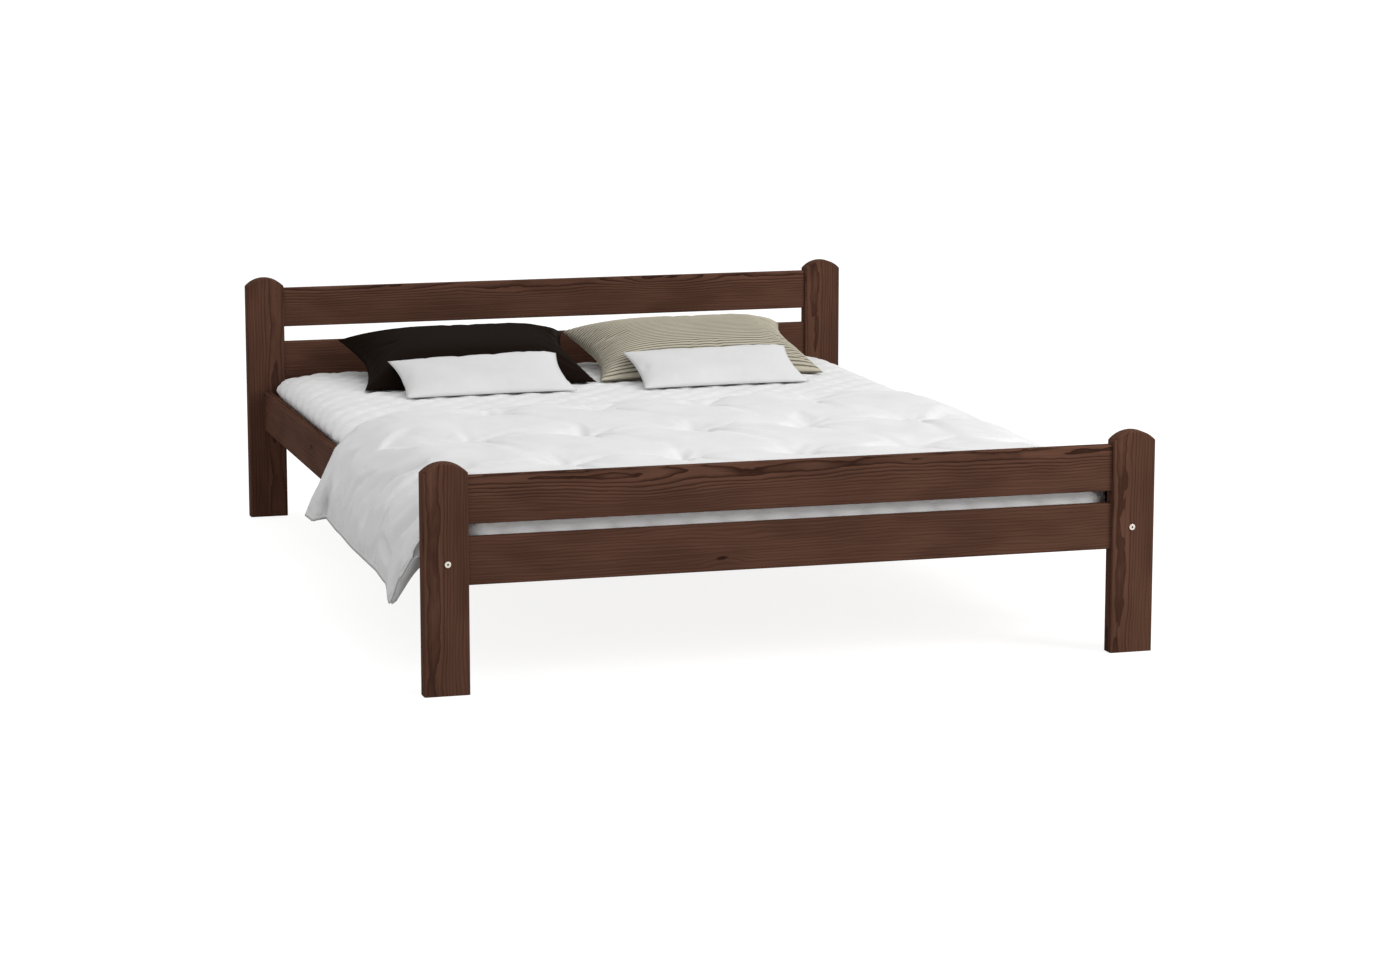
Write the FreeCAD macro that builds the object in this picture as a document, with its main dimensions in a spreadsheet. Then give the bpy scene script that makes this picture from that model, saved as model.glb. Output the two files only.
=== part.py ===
# Slatted double bed in pine: arched posts, dowelled end rails, bolted side rails on barrel nuts,
# slats on ledgers and a centre beam, with a mattress, a tufted quilt and four pillows.
# Millimetres. The origin is on the floor under the middle of the bed, +Y runs to the headboard.
import FreeCAD, Part
import math
import os
import re
import Sketcher

Vector = FreeCAD.Vector
UP = Vector(0, 0, 1)

# Driving sizes
DRIVING_SIZES = {
    # mattress that the frame is made for, and the room round it
    "mattress_width": 1400,
    "mattress_length": 2000,
    "mattress_height": 88,
    "mattress_side_gap": 5,
    "mattress_end_gap": 5,
    "mattress_corner": 70,
    "mattress_rounding": 16,
    "mattress_crown": 46,
    "mattress_crown_reach": 150,
    "mattress_cover_wall": 4,
    # posts
    "post_width": 92,
    "post_thickness": 35,
    "foot_post_height": 461,
    "head_post_height": 593,
    "arch_rise": 20.5,
    "post_rounding": 4,
    "shoulder_rounding": 3,
    # rails between the posts of one end
    "end_rail_height": 95,
    "end_rail_thickness": 20,
    "end_rail_rounding": 2.5,
    "low_rail_bottom": 217,
    "foot_top_rail_bottom": 338,
    "head_lower_rail_bottom": 339,
    "head_top_rail_bottom": 471.5,
    # dowels
    "dowel_diameter": 8,
    "dowel_length": 40,
    "dowel_clearance": 0.2,
    "dowel_end_room": 1,
    "end_rail_dowel_pitch": 50,
    "side_rail_dowel_pitch": 56,
    # side rails and the bolts that hold them
    "side_rail_height": 95,
    "side_rail_thickness": 22,
    "side_rail_inset": 38,
    "side_rail_bottom": 216.5,
    "side_rail_rounding": 2.5,
    "bolt_height": 262,
    "bolt_diameter": 6,
    "bolt_clearance": 0.6,
    "bolt_length": 80,
    "bolt_end_room": 3,
    "bolt_head_diameter": 13,
    "bolt_head_height": 2.5,
    "bolt_socket": 4,
    "barrel_nut_diameter": 10,
    "barrel_nut_length": 14,
    "barrel_nut_reach": 36,
    "barrel_nut_clearance": 0.2,
    # slat base
    "ledger_rise": 20,
    "ledger_height": 25,
    "ledger_thickness": 22,
    "ledger_end_gap": 55,
    "ledger_screw_count": 6,
    "ledger_screw_margin": 90,
    "slat_count": 14,
    "slat_width": 80,
    "slat_thickness": 17,
    "slat_rounding": 3,
    "slat_end_gap": 3,
    "slat_margin": 38,
    "screw_diameter": 4,
    "screw_clearance": 0.2,
    "screw_head_diameter": 8,
    "screw_head_height": 2.4,
    "screw_head_recess": 2.6,
    "ledger_screw_length": 36,
    "slat_screw_length": 34,
    "hanger_screw_length": 16,
    "screw_end_room": 1,
    # centre beam in its steel hangers
    "beam_width": 45,
    "beam_height": 42,
    "beam_end_gap": 2,
    "hanger_sheet": 2,
    "hanger_depth": 45,
    "hanger_gap": 0.3,
    "hanger_flange": 22,
    "hanger_rise": 40,
    "hanger_screw_margin": 11,
    # quilt
    "quilt_length": 1140,
    "quilt_foot_inset": 10,
    "quilt_puff": 24,
    "quilt_hem": 13,
    "quilt_shoulder": 75,
    "quilt_side_drop": 121,
    "quilt_side_flare": 62,
    "quilt_corner_in": 210,
    "quilt_corner_back": 208,
    "tuft_depth": 19,
    "tuft_reach": 70,
    "tuft_flank": 60,
    "tuft_pitch": 250,
    "tuft_row_pitch": 350,
    "tuft_margin": 100,
    # pillows
    "big_pillow_length": 566,
    "big_pillow_depth": 374,
    "big_pillow_thickness": 122,
    "big_pillow_side_pull": 32,
    "big_pillow_front_pull": 10,
    "big_pillow_tilt": 10.5,
    "big_pillow_between": 5,
    "big_pillow_head_gap": 60,
    "big_pillow_front_rise": 6,
    "big_pillow_lean": 6,
    "small_pillow_length": 420,
    "small_pillow_depth": 212,
    "small_pillow_thickness": 54,
    "small_pillow_side_pull": 14,
    "small_pillow_front_pull": 6,
    "small_pillow_tilt": 15,
    "small_pillow_reach": 120,
    "small_pillow_front_rise": 6,
    "small_pillow_left_centre": 279,
    "small_pillow_right_centre": 312,
    "small_pillow_turn": 6,
    # room between soft pieces and what they lie on
    "soft_gap": 0.4,
}

# Sizes that follow from the driving ones
FOLLOWING_SIZES = {
    "bed_width": "mattress_width + 2*(mattress_side_gap + side_rail_thickness + side_rail_inset)",
    "bed_length": "mattress_length + 2*(mattress_end_gap + post_thickness)",
    "post_x": "(bed_width - post_width)/2",
    "post_y": "(bed_length - post_thickness)/2",
    "end_rail_length": "bed_width - 2*post_width",
    "end_rail_inner_y": "post_y - end_rail_thickness/2",
    "side_rail_length": "bed_length - 2*post_thickness",
    "side_rail_outer_x": "bed_width/2 - side_rail_inset",
    "side_rail_x": "side_rail_outer_x - side_rail_thickness/2",
    "bolt_x_in_post": "post_width/2 - side_rail_inset - side_rail_thickness/2",
    "bolt_z_in_rail": "bolt_height - side_rail_bottom",
    "bolt_bore": "bolt_diameter + bolt_clearance",
    "dowel_bore": "dowel_diameter + dowel_clearance",
    "dowel_bore_depth": "dowel_length/2 + dowel_end_room",
    "barrel_nut_bore": "barrel_nut_diameter + barrel_nut_clearance",
    "screw_bore": "screw_diameter + screw_clearance",
    "screw_recess_bore": "screw_head_diameter + screw_clearance",
    "ledger_x": "side_rail_x - side_rail_thickness/2 - ledger_thickness/2",
    "ledger_length": "side_rail_length - 2*ledger_end_gap",
    "ledger_bottom": "side_rail_bottom + ledger_rise",
    "ledger_top": "ledger_bottom + ledger_height",
    "slat_length": "2*(ledger_x + ledger_thickness/2 - slat_end_gap)",
    "slat_first_y": "side_rail_length/2 - slat_margin - slat_width/2",
    "mattress_bottom": "ledger_top + slat_thickness",
    "mattress_top": "mattress_bottom + mattress_height",
    "beam_bottom": "ledger_top - beam_height",
    "beam_length": "2*(end_rail_inner_y - hanger_sheet - beam_end_gap)",
    "hanger_width": "beam_width + 2*(hanger_gap + hanger_sheet)",
    "quilt_foot_y": "quilt_foot_inset - mattress_length/2",
    "quilt_head_y": "quilt_foot_y + quilt_length",
}

doc = FreeCAD.newDocument("double_bed")
sizes = doc.addObject("Spreadsheet::Sheet", "sizes")
for row, (name, number) in enumerate(DRIVING_SIZES.items(), start=1):
    sizes.set(f"A{row}", name)
    sizes.set(f"B{row}", str(number))
    sizes.setAlias(f"B{row}", name)
doc.recompute()

nodes = []
bores = []


def rule(text):
    """Expression for the sheet: driving sizes get the sheet's name, following sizes are written out."""
    def swap(match):
        word = match.group(0)
        if word in FOLLOWING_SIZES:
            return "(" + rule(FOLLOWING_SIZES[word]) + ")"
        return "sizes." + word if word in DRIVING_SIZES else word
    return re.sub(r"[a-z_]+", swap, text)


def value(text):
    return float(sizes.evalExpression(rule(text)))


def place(piece, x="0", y="0", z="0"):
    for axis, text in (("x", x), ("y", y), ("z", z)):
        piece.setExpression("Placement.Base." + axis, rule(text))


# Timber and steel pieces: bodies with sketches, pads, bores and rounded edges
def new_body(label):
    body = doc.addObject("PartDesign::Body", label)
    body.Label = label
    nodes.append(body)
    return body


def sketch_on(body, role, offset="0"):
    sketch = body.newObject("Sketcher::SketchObject", body.Label + "_sketch")
    plane = next(feature for feature in body.Origin.OriginFeatures if feature.Role == role)
    sketch.AttachmentSupport = (plane, [""])
    sketch.MapMode = "FlatFace"
    sketch.setExpression("AttachmentOffset.Base.z", rule(offset))
    return sketch


def bind(sketch, constraint, text):
    index = sketch.addConstraint(constraint)
    sketch.renameConstraint(index, f"size_{index}")
    sketch.setExpression(f"Constraints.size_{index}", rule(text))


def join_ends(sketch, count):
    for line in range(count):
        sketch.addConstraint(Sketcher.Constraint("Coincident", line, 2, (line + 1) % count, 1))


def rectangle(sketch, width, height, bottom="0"):
    """Rectangle centred on the sketch's upright axis."""
    half, low = value(width) / 2, value(bottom)
    high = low + value(height)
    corners = [Vector(-half, low), Vector(half, low), Vector(half, high), Vector(-half, high)]
    for start, end in zip(corners, corners[1:] + corners[:1]):
        sketch.addGeometry(Part.LineSegment(start, end))
    join_ends(sketch, 4)
    sketch.addConstraint(Sketcher.Constraint("Horizontal", 2))
    sketch.addConstraint(Sketcher.Constraint("Vertical", 1))
    sketch.addConstraint(Sketcher.Constraint("Symmetric", 0, 1, 0, 2, -2))
    sketch.addConstraint(Sketcher.Constraint("Vertical", 3))
    bind(sketch, Sketcher.Constraint("DistanceX", 0, 1, 0, 2, 2 * half), width)
    bind(sketch, Sketcher.Constraint("DistanceY", 1, 1, 1, 2, high - low), height)
    if bottom == "0":
        sketch.addConstraint(Sketcher.Constraint("PointOnObject", 0, 1, -1))
    else:
        bind(sketch, Sketcher.Constraint("DistanceY", -1, 1, 0, 1, low), bottom)


def pad(body, sketch, length, sides="Symmetric", reverse=False):
    feature = body.newObject("PartDesign::Pad", body.Label + "_pad")
    feature.Profile = sketch
    feature.SideType = sides
    feature.Reversed = reverse
    feature.setExpression("Length", rule(length))
    doc.recompute()
    return feature


def fillet(body, base, keep, radius):
    """Round the edges of the base feature that keep() picks."""
    names = [f"Edge{i}" for i, edge in enumerate(base.Shape.Edges, start=1) if keep(edge)]
    feature = body.newObject("PartDesign::Fillet", body.Label + "_rounding")
    feature.Base = (base, names)
    feature.setExpression("Radius", rule(radius))
    doc.recompute()
    return feature


def runs_along(axis):
    def keep(edge):
        way = edge.Vertexes[-1].Point - edge.Vertexes[0].Point
        return abs(way.dot(axis)) > 0.999 * way.Length
    return keep


def bore(body, role, offset, holes, depth, along_normal):
    """Round holes (across, up, diameter) from a plane; depth None goes right through."""
    sketch = sketch_on(body, role, offset)
    area = 0
    for index, (across, up, diameter) in enumerate(holes):
        spot = Vector(value(across), value(up))
        sketch.addGeometry(Part.Circle(spot, UP, value(diameter) / 2))
        if across == "0":
            sketch.addConstraint(Sketcher.Constraint("PointOnObject", index, 3, -2))
        else:
            bind(sketch, Sketcher.Constraint("DistanceX", -1, 1, index, 3, spot.x), across)
        bind(sketch, Sketcher.Constraint("DistanceY", -1, 1, index, 3, spot.y), up)
        bind(sketch, Sketcher.Constraint("Diameter", index, value(diameter)), diameter)
        area += math.pi * value(diameter) ** 2 / 4
    pocket = body.newObject("PartDesign::Pocket", body.Label + "_bore")
    pocket.Profile = sketch
    pocket.Reversed = along_normal
    if depth is None:
        pocket.Type = "ThroughAll"
    else:
        pocket.setExpression("Length", rule(depth))
    doc.recompute()
    bores.append((pocket, area))


def pair_of_dowel_holes(middle, pitch):
    return [("0", f"{middle} - {pitch}/2", "dowel_bore"), ("0", f"{middle} + {pitch}/2", "dowel_bore")]


# Posts: flat boards with an arched top, bored for the end rails' dowels and the side rail's bolt
def post_outline(sketch, height):
    half, rise = value("post_width/2"), value("arch_rise")
    shoulder = value(height) - rise
    corners = [Vector(-half, shoulder), Vector(-half, 0), Vector(half, 0), Vector(half, shoulder)]
    for start, end in zip(corners, corners[1:]):
        sketch.addGeometry(Part.LineSegment(start, end))
    sketch.addGeometry(Part.Arc(corners[3], Vector(0, shoulder + rise), corners[0]))
    join_ends(sketch, 4)
    sketch.addConstraint(Sketcher.Constraint("Vertical", 0))
    sketch.addConstraint(Sketcher.Constraint("Vertical", 2))
    sketch.addConstraint(Sketcher.Constraint("PointOnObject", 1, 1, -1))
    sketch.addConstraint(Sketcher.Constraint("Symmetric", 1, 1, 1, 2, -2))
    sketch.addConstraint(Sketcher.Constraint("PointOnObject", 3, 3, -2))
    bind(sketch, Sketcher.Constraint("DistanceX", 1, 1, 1, 2, 2 * half), "post_width")
    bind(sketch, Sketcher.Constraint("DistanceY", 2, 1, 2, 2, shoulder), f"{height} - arch_rise")
    radius = "(post_width*post_width/4 + arch_rise*arch_rise)/(2*arch_rise)"
    bind(sketch, Sketcher.Constraint("Radius", 3, value(radius)), radius)


def at_shoulder(edge):
    return edge.BoundBox.YLength > 1 and edge.BoundBox.ZMin > 1


def on_post_outline(edge):
    on_face = edge.BoundBox.YLength < 1e-6
    return on_face and edge.BoundBox.Center.z > 1


def post(label, height, side, end, rail_bottoms):
    """side is -1 at the left and 1 at the right, end is -1 at the foot and 1 at the head."""
    body = new_body(label)
    outline = sketch_on(body, "XZ_Plane")
    post_outline(outline, height)
    blank = pad(body, outline, "post_thickness")
    shouldered = fillet(body, blank, at_shoulder, "shoulder_rounding")
    fillet(body, shouldered, on_post_outline, "post_rounding")
    holes = []
    for bottom in rail_bottoms:
        holes += pair_of_dowel_holes(f"{bottom} + end_rail_height/2", "end_rail_dowel_pitch")
    bore(body, "YZ_Plane", f"{-side}*post_width/2", holes, "dowel_bore_depth", side > 0)
    across = f"{side}*bolt_x_in_post"
    bed_face = f"{end}*post_thickness/2"
    bore(body, "XZ_Plane", bed_face, [(across, "bolt_height", "bolt_bore")], None, end < 0)
    holes = [(across, "bolt_height - side_rail_dowel_pitch/2", "dowel_bore"),
             (across, "bolt_height + side_rail_dowel_pitch/2", "dowel_bore")]
    bore(body, "XZ_Plane", bed_face, holes, "dowel_bore_depth", end < 0)
    place(body, f"{side}*post_x", f"{end}*post_y")


HEAD_RAILS = {
    "headboard_top_rail": "head_top_rail_bottom",
    "headboard_lower_rail": "head_lower_rail_bottom",
    "headboard_bottom_rail": "low_rail_bottom",
}
FOOT_RAILS = {
    "footboard_top_rail": "foot_top_rail_bottom",
    "footboard_lower_rail": "low_rail_bottom",
}
SIDES = {"left": -1, "right": 1}
ENDS = {"foot": (-1, FOOT_RAILS), "head": (1, HEAD_RAILS)}

for end_name, (end, rails) in ENDS.items():
    for side_name, side in SIDES.items():
        post(f"{end_name}_post_{side_name}", f"{end_name}_post_height", side, end, rails.values())


# End rails: plain boards dowelled between two posts
def end_rail(label, bottom, end):
    body = new_body(label)
    section = sketch_on(body, "YZ_Plane")
    rectangle(section, "end_rail_thickness", "end_rail_height")
    board = pad(body, section, "end_rail_length")
    fillet(body, board, runs_along(Vector(1, 0, 0)), "end_rail_rounding")
    holes = pair_of_dowel_holes("end_rail_height/2", "end_rail_dowel_pitch")
    bore(body, "YZ_Plane", "end_rail_length/2", holes, "dowel_bore_depth", False)
    bore(body, "YZ_Plane", "-end_rail_length/2", holes, "dowel_bore_depth", True)
    if bottom == "low_rail_bottom":
        inner_face = f"{end}*end_rail_thickness/2"
        bore(body, "XZ_Plane", inner_face, hanger_holes("beam_bottom - low_rail_bottom"),
             "hanger_screw_length + screw_end_room - hanger_sheet", end < 0)
    place(body, "0", f"{end}*post_y", bottom)


def hanger_holes(bottom):
    """Four screw holes in the hanger's flanges, upwards from the beam's underside."""
    across = "(beam_width/2 + hanger_gap + hanger_sheet + hanger_flange/2)"
    low, high = "beam_height - hanger_screw_margin", "beam_height + hanger_rise - hanger_screw_margin"
    return [(f"{sign}*{across}", f"{bottom} + {up}", "screw_bore") for sign in (-1, 1) for up in (low, high)]


for end_name, (end, rails) in ENDS.items():
    for rail_name, rail_bottom in rails.items():
        end_rail(rail_name, rail_bottom, end)


# Side rails: bored at each end for a bolt and two dowels, and across for the barrel nut
def screw_stations(count, first, last):
    """Expressions evenly spaced from one place to another."""
    return [f"({first} + ({last} - {first})*{k}/({count} - 1))" for k in range(int(value(count)))]


LEDGER_SCREWS = screw_stations("ledger_screw_count", "(ledger_screw_margin - ledger_length/2)",
                               "(ledger_length/2 - ledger_screw_margin)")
SLATS = screw_stations("slat_count", "-slat_first_y", "slat_first_y")


def side_rail(label, side):
    body = new_body(label)
    section = sketch_on(body, "XZ_Plane")
    rectangle(section, "side_rail_thickness", "side_rail_height")
    board = pad(body, section, "side_rail_length")
    fillet(body, board, runs_along(Vector(0, 1, 0)), "side_rail_rounding")
    bolt_hole = [("0", "bolt_z_in_rail", "bolt_bore")]
    bolt_depth = "bolt_length - post_thickness + bolt_end_room"
    for end in (-1, 1):
        face = f"{-end}*side_rail_length/2"
        bore(body, "XZ_Plane", face, bolt_hole, bolt_depth, end > 0)
        bore(body, "XZ_Plane", face, pair_of_dowel_holes("bolt_z_in_rail", "side_rail_dowel_pitch"),
             "dowel_bore_depth", end > 0)
    inner_face = f"{-side}*side_rail_thickness/2"
    reach = "(side_rail_length/2 - barrel_nut_reach)"
    holes = [(f"{end}*{reach}", "bolt_z_in_rail", "barrel_nut_bore") for end in (-1, 1)]
    bore(body, "YZ_Plane", inner_face, holes, "side_rail_thickness/2 + barrel_nut_length/2", side > 0)
    holes = [(spot, "ledger_rise + ledger_height/2", "screw_bore") for spot in LEDGER_SCREWS]
    bore(body, "YZ_Plane", inner_face, holes,
         "ledger_screw_length + screw_end_room - ledger_thickness", side > 0)
    place(body, f"{side}*side_rail_x", "0", "side_rail_bottom")


def ledger(label, side):
    """Batten screwed to the side rail's inner face, which the slats lie on."""
    body = new_body(label)
    section = sketch_on(body, "XZ_Plane")
    rectangle(section, "ledger_thickness", "ledger_height")
    pad(body, section, "ledger_length")
    inner_face = f"{-side}*ledger_thickness/2"
    holes = [(spot, "ledger_height/2", "screw_bore") for spot in LEDGER_SCREWS]
    bore(body, "YZ_Plane", inner_face, holes, None, side > 0)
    holes = [("0", spot, "screw_bore") for spot in SLATS]
    bore(body, "XY_Plane", "ledger_height", holes,
         "slat_screw_length + screw_end_room - slat_thickness + screw_head_recess", False)
    place(body, f"{side}*ledger_x", "0", "ledger_bottom")


for side_name, side in SIDES.items():
    side_rail(f"side_rail_{side_name}", side)
    ledger(f"slat_ledger_{side_name}", side)


# Slats: sprung boards across the ledgers and the centre beam, one recessed screw at each end
def slat(label, y):
    body = new_body(label)
    section = sketch_on(body, "YZ_Plane")
    rectangle(section, "slat_width", "slat_thickness")
    board = pad(body, section, "slat_length")
    fillet(body, board, runs_along(Vector(1, 0, 0)), "slat_rounding")
    spots = [f"{side}*ledger_x" for side in (-1, 1)]
    for diameter, depth in (("screw_bore", None), ("screw_recess_bore", "screw_head_recess")):
        sketch_holes = [(spot, "0", diameter) for spot in spots]
        bore(body, "XY_Plane", "slat_thickness", sketch_holes, depth, False)
    place(body, "0", y, "ledger_top")


for number, spot in enumerate(SLATS, start=1):
    slat(f"slat_{number:02d}", spot)


# Centre beam and its hangers: a folded steel cradle screwed to the low rail at each end
beam = new_body("centre_beam")
beam_section = sketch_on(beam, "XZ_Plane")
rectangle(beam_section, "beam_width", "beam_height")
pad(beam, beam_section, "beam_length")
place(beam, "0", "0", "beam_bottom")


def hanger(label, end):
    body = new_body(label)
    cradle = sketch_on(body, "XZ_Plane")
    rectangle(cradle, "hanger_width", "beam_height + hanger_sheet", "-hanger_sheet")
    pad(body, cradle, "hanger_depth", "One side", end < 0)
    flange = sketch_on(body, "XZ_Plane")
    rectangle(flange, "hanger_width + 2*hanger_flange", "beam_height + hanger_rise + hanger_sheet",
              "-hanger_sheet")
    pad(body, flange, "hanger_sheet", "One side", end < 0)
    mouth = sketch_on(body, "XZ_Plane", "hanger_sheet" if end > 0 else "-hanger_sheet")
    rectangle(mouth, "beam_width + 2*hanger_gap", "beam_height")
    pocket = body.newObject("PartDesign::Pocket", label + "_mouth")
    pocket.Profile = mouth
    pocket.Type = "ThroughAll"
    pocket.Reversed = end > 0
    doc.recompute()
    bores.append((pocket, value("beam_width*beam_height") / 2))
    bore(body, "XZ_Plane", "0", hanger_holes("0"), None, end > 0)
    place(body, "0", f"{end}*end_rail_inner_y", "beam_bottom")


for end_name, (end, rails) in ENDS.items():
    hanger(f"beam_hanger_{end_name}", end)


# Fasteners: each kind is one group of like solids
def group(label, solids):
    piece = doc.addObject("Part::Feature", label)
    piece.Label = label
    piece.Shape = Part.makeCompound(solids)
    nodes.append(piece)


def placed(solid, spot, rotation=FreeCAD.Rotation()):
    copy = solid.copy()
    copy.Placement = FreeCAD.Placement(spot, rotation)
    return copy


TURN_TO_X = FreeCAD.Rotation(Vector(0, 1, 0), 90)
POINT_TO = {end: FreeCAD.Rotation(Vector(1, 0, 0), 90 * end) for end in (-1, 1)}


def dowel():
    radius, length, bevel = value("dowel_diameter/2"), value("dowel_length"), value("dowel_diameter/8")
    peg = Part.makeCylinder(radius, length, Vector(0, 0, -length / 2), UP)
    rims = [edge for edge in peg.Edges if edge.Closed]
    return peg.makeChamfer(bevel, rims)


def end_rail_dowels(rails, end):
    solids = []
    for bottom in rails.values():
        for side in SIDES.values():
            for level in (-1, 1):
                height = value(f"{bottom} + end_rail_height/2 + {level}*end_rail_dowel_pitch/2")
                spot = Vector(side * value("end_rail_length/2"), end * value("post_y"), height)
                solids.append(placed(dowel(), spot, TURN_TO_X))
    return solids


def screw(length):
    """Screw pointing down, with the underside of its head at the origin."""
    shank = Part.makeCylinder(value("screw_diameter/2"), length, Vector(0, 0, -length), UP)
    head = Part.makeCylinder(value("screw_head_diameter/2"), value("screw_head_height"))
    rim = max((edge for edge in head.Edges if edge.Closed), key=lambda edge: edge.BoundBox.Center.z)
    return shank.fuse(head.makeFillet(value("screw_head_height") / 2, [rim])).removeSplitter()


def bolt():
    """Bolt pointing down, with a six-sided socket in its low round head."""
    shank = Part.makeCylinder(value("bolt_diameter/2"), value("bolt_length"),
                              Vector(0, 0, -value("bolt_length")), UP)
    head = Part.makeCylinder(value("bolt_head_diameter/2"), value("bolt_head_height"))
    rim = max((edge for edge in head.Edges if edge.Closed), key=lambda edge: edge.BoundBox.Center.z)
    head = head.makeFillet(value("bolt_head_height") / 3, [rim])
    corner = value("bolt_socket") / math.sqrt(3)
    turns = [math.radians(60 * k) for k in range(7)]
    outline = Part.makePolygon([Vector(corner * math.cos(a), corner * math.sin(a), 0) for a in turns])
    socket = Part.Face(outline).extrude(Vector(0, 0, value("bolt_head_height")))
    return shank.fuse(head).removeSplitter().cut(socket)


def barrel_nut():
    """Short cylinder along X with a cross hole for the bolt along Y."""
    length, radius = value("barrel_nut_length"), value("barrel_nut_diameter/2")
    barrel = Part.makeCylinder(radius, length, Vector(-length / 2, 0, 0), Vector(1, 0, 0))
    hole = Part.makeCylinder(value("bolt_bore/2"), 4 * radius, Vector(0, -2 * radius, 0), Vector(0, 1, 0))
    return barrel.cut(hole)


bolt_solids, nut_solids, side_dowel_solids = [], [], []
for end in (-1, 1):
    for side in SIDES.values():
        axis_x, axis_z = side * value("side_rail_x"), value("bolt_height")
        bolt_spot = Vector(axis_x, end * value("bed_length/2"), axis_z)
        bolt_solids.append(placed(bolt(), bolt_spot, POINT_TO[-end]))
        nut_y = end * value("side_rail_length/2 - barrel_nut_reach")
        nut_solids.append(placed(barrel_nut(), Vector(axis_x, nut_y, axis_z)))
        for level in (-1, 1):
            dowel_z = axis_z + level * value("side_rail_dowel_pitch/2")
            dowel_spot = Vector(axis_x, end * value("side_rail_length/2"), dowel_z)
            side_dowel_solids.append(placed(dowel(), dowel_spot, POINT_TO[end]))

ledger_screw_solids, slat_screw_solids, hanger_screw_solids = [], [], []
for side in SIDES.values():
    inner_x = value("ledger_x - ledger_thickness/2")
    turn = FreeCAD.Rotation(Vector(0, 1, 0), -90 * side)
    for spot in LEDGER_SCREWS:
        seat = Vector(side * inner_x, value(spot), value("ledger_bottom + ledger_height/2"))
        ledger_screw_solids.append(placed(screw(value("ledger_screw_length")), seat, turn))
    for spot in SLATS:
        seat = Vector(side * value("ledger_x"), value(spot), value("mattress_bottom - screw_head_recess"))
        slat_screw_solids.append(placed(screw(value("slat_screw_length")), seat))
for end in (-1, 1):
    face = end * value("end_rail_inner_y - hanger_sheet")
    for across, up, _ in hanger_holes("beam_bottom"):
        seat = Vector(value(across), face, value(up))
        hanger_screw_solids.append(placed(screw(value("hanger_screw_length")), seat, POINT_TO[end]))

group("headboard_dowels", end_rail_dowels(HEAD_RAILS, 1))
group("footboard_dowels", end_rail_dowels(FOOT_RAILS, -1))
group("side_rail_bolts", bolt_solids)
group("side_rail_barrel_nuts", nut_solids)
group("side_rail_dowels", side_dowel_solids)
group("ledger_screws", ledger_screw_solids)
group("slat_screws", slat_screw_solids)
group("hanger_screws", hanger_screw_solids)


# Soft pieces: lofts through lines and arcs
def form(label, shape, keep=False):
    piece = doc.addObject("Part::Feature", label)
    piece.Label = label
    piece.Shape = shape
    if keep:
        nodes.append(piece)
    return piece


def carve(label, base, *tools):
    """What is left of the base once the tools are taken out of it."""
    for tool in tools:
        left = doc.addObject("Part::Cut", label + "_cut")
        left.Base, left.Tool = base, tool
        base = left
    base.Label = label
    nodes.append(base)
    doc.recompute()
    return base


def through(start, middle, end):
    """Arc through three points, or a line where they are in line."""
    bend = (middle - start).cross(end - start).Length
    if bend < 1e-3 * (end - start).Length:
        return Part.LineSegment(start, end).toShape()
    return Part.Arc(start, middle, end).toShape()


# Mattress: crowned top, drawn-in edges, a cover round a foam core
def rounded_rectangle(half_x, half_y, radius, z):
    edges = []
    for turn in range(4):
        way = FreeCAD.Rotation(UP, 90 * turn)
        along, across = (half_x, half_y) if turn % 2 == 0 else (half_y, half_x)
        side_start = Vector(along, radius - across, z)
        side_end = Vector(along, across - radius, z)
        corner_middle = Vector(along - radius, across - radius, z) + Vector(1, 1, 0) * (radius / math.sqrt(2))
        corner_end = Vector(along - radius, across, z)
        edges.append(Part.LineSegment(way.multVec(side_start), way.multVec(side_end)).toShape())
        edges.append(through(way.multVec(side_end), way.multVec(corner_middle), way.multVec(corner_end)))
    return Part.Wire(edges)


CROWN_STEPS = 4


def crown_drop(inset):
    """How far the mattress has fallen below its top at a distance in from its side: a quarter ellipse."""
    left = max(0, 1 - inset / value("mattress_crown_reach"))
    return value("mattress_crown") * (1 - math.sqrt(1 - left ** 2))


def mattress_form(grow):
    """Stack of rounded rectangles: height above the underside and how far each is drawn in."""
    height, rounding, reach = (value(f"mattress_{name}") for name in ("height", "rounding", "crown_reach"))
    levels = [(0, rounding), (rounding, 0)]
    for step in range(CROWN_STEPS + 1):
        inset = reach * (1 - math.cos(math.radians(90 * step / CROWN_STEPS)))
        levels.append((height - crown_drop(inset), inset))
    wires = []
    for up, inset in levels:
        stretch = grow * (2 * up / height - 1)
        wires.append(rounded_rectangle(value("mattress_width/2") - inset + grow,
                                       value("mattress_length/2") - inset + grow,
                                       value("mattress_corner"), value("mattress_bottom") + up + stretch))
    return Part.makeLoft(wires, True, True)


wall = value("mattress_cover_wall")
core = form("mattress_core", mattress_form(-wall - value("soft_gap")), keep=True)
carve("mattress_cover", form("cover_outside", mattress_form(0)), form("cover_inside", mattress_form(-wall)))
mattress_room = form("mattress_room", mattress_form(value("soft_gap")))


# Quilt: tufted top, rounded shoulders over the side rails, fluted sides, corners swept back at the head
TUFT_ROWS = 3
TOP_ARCS = 10


def quilt_puff(x, y):
    """Height of the quilt over the mattress: full between tufts, drawn in at each tuft."""
    pitch, row_pitch = value("tuft_pitch"), value("tuft_row_pitch")
    nearest = pitch
    for row in range(TUFT_ROWS):
        row_y = value("quilt_head_y - tuft_margin") - row * row_pitch
        shift = 0.5 if row % 2 == 0 else 0
        column = round(x / pitch - shift) + shift
        nearest = min(nearest, math.hypot(x - column * pitch, y - row_y))
    return value("quilt_puff") - value("tuft_depth") * math.exp(-(nearest / value("tuft_reach")) ** 2)


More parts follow.
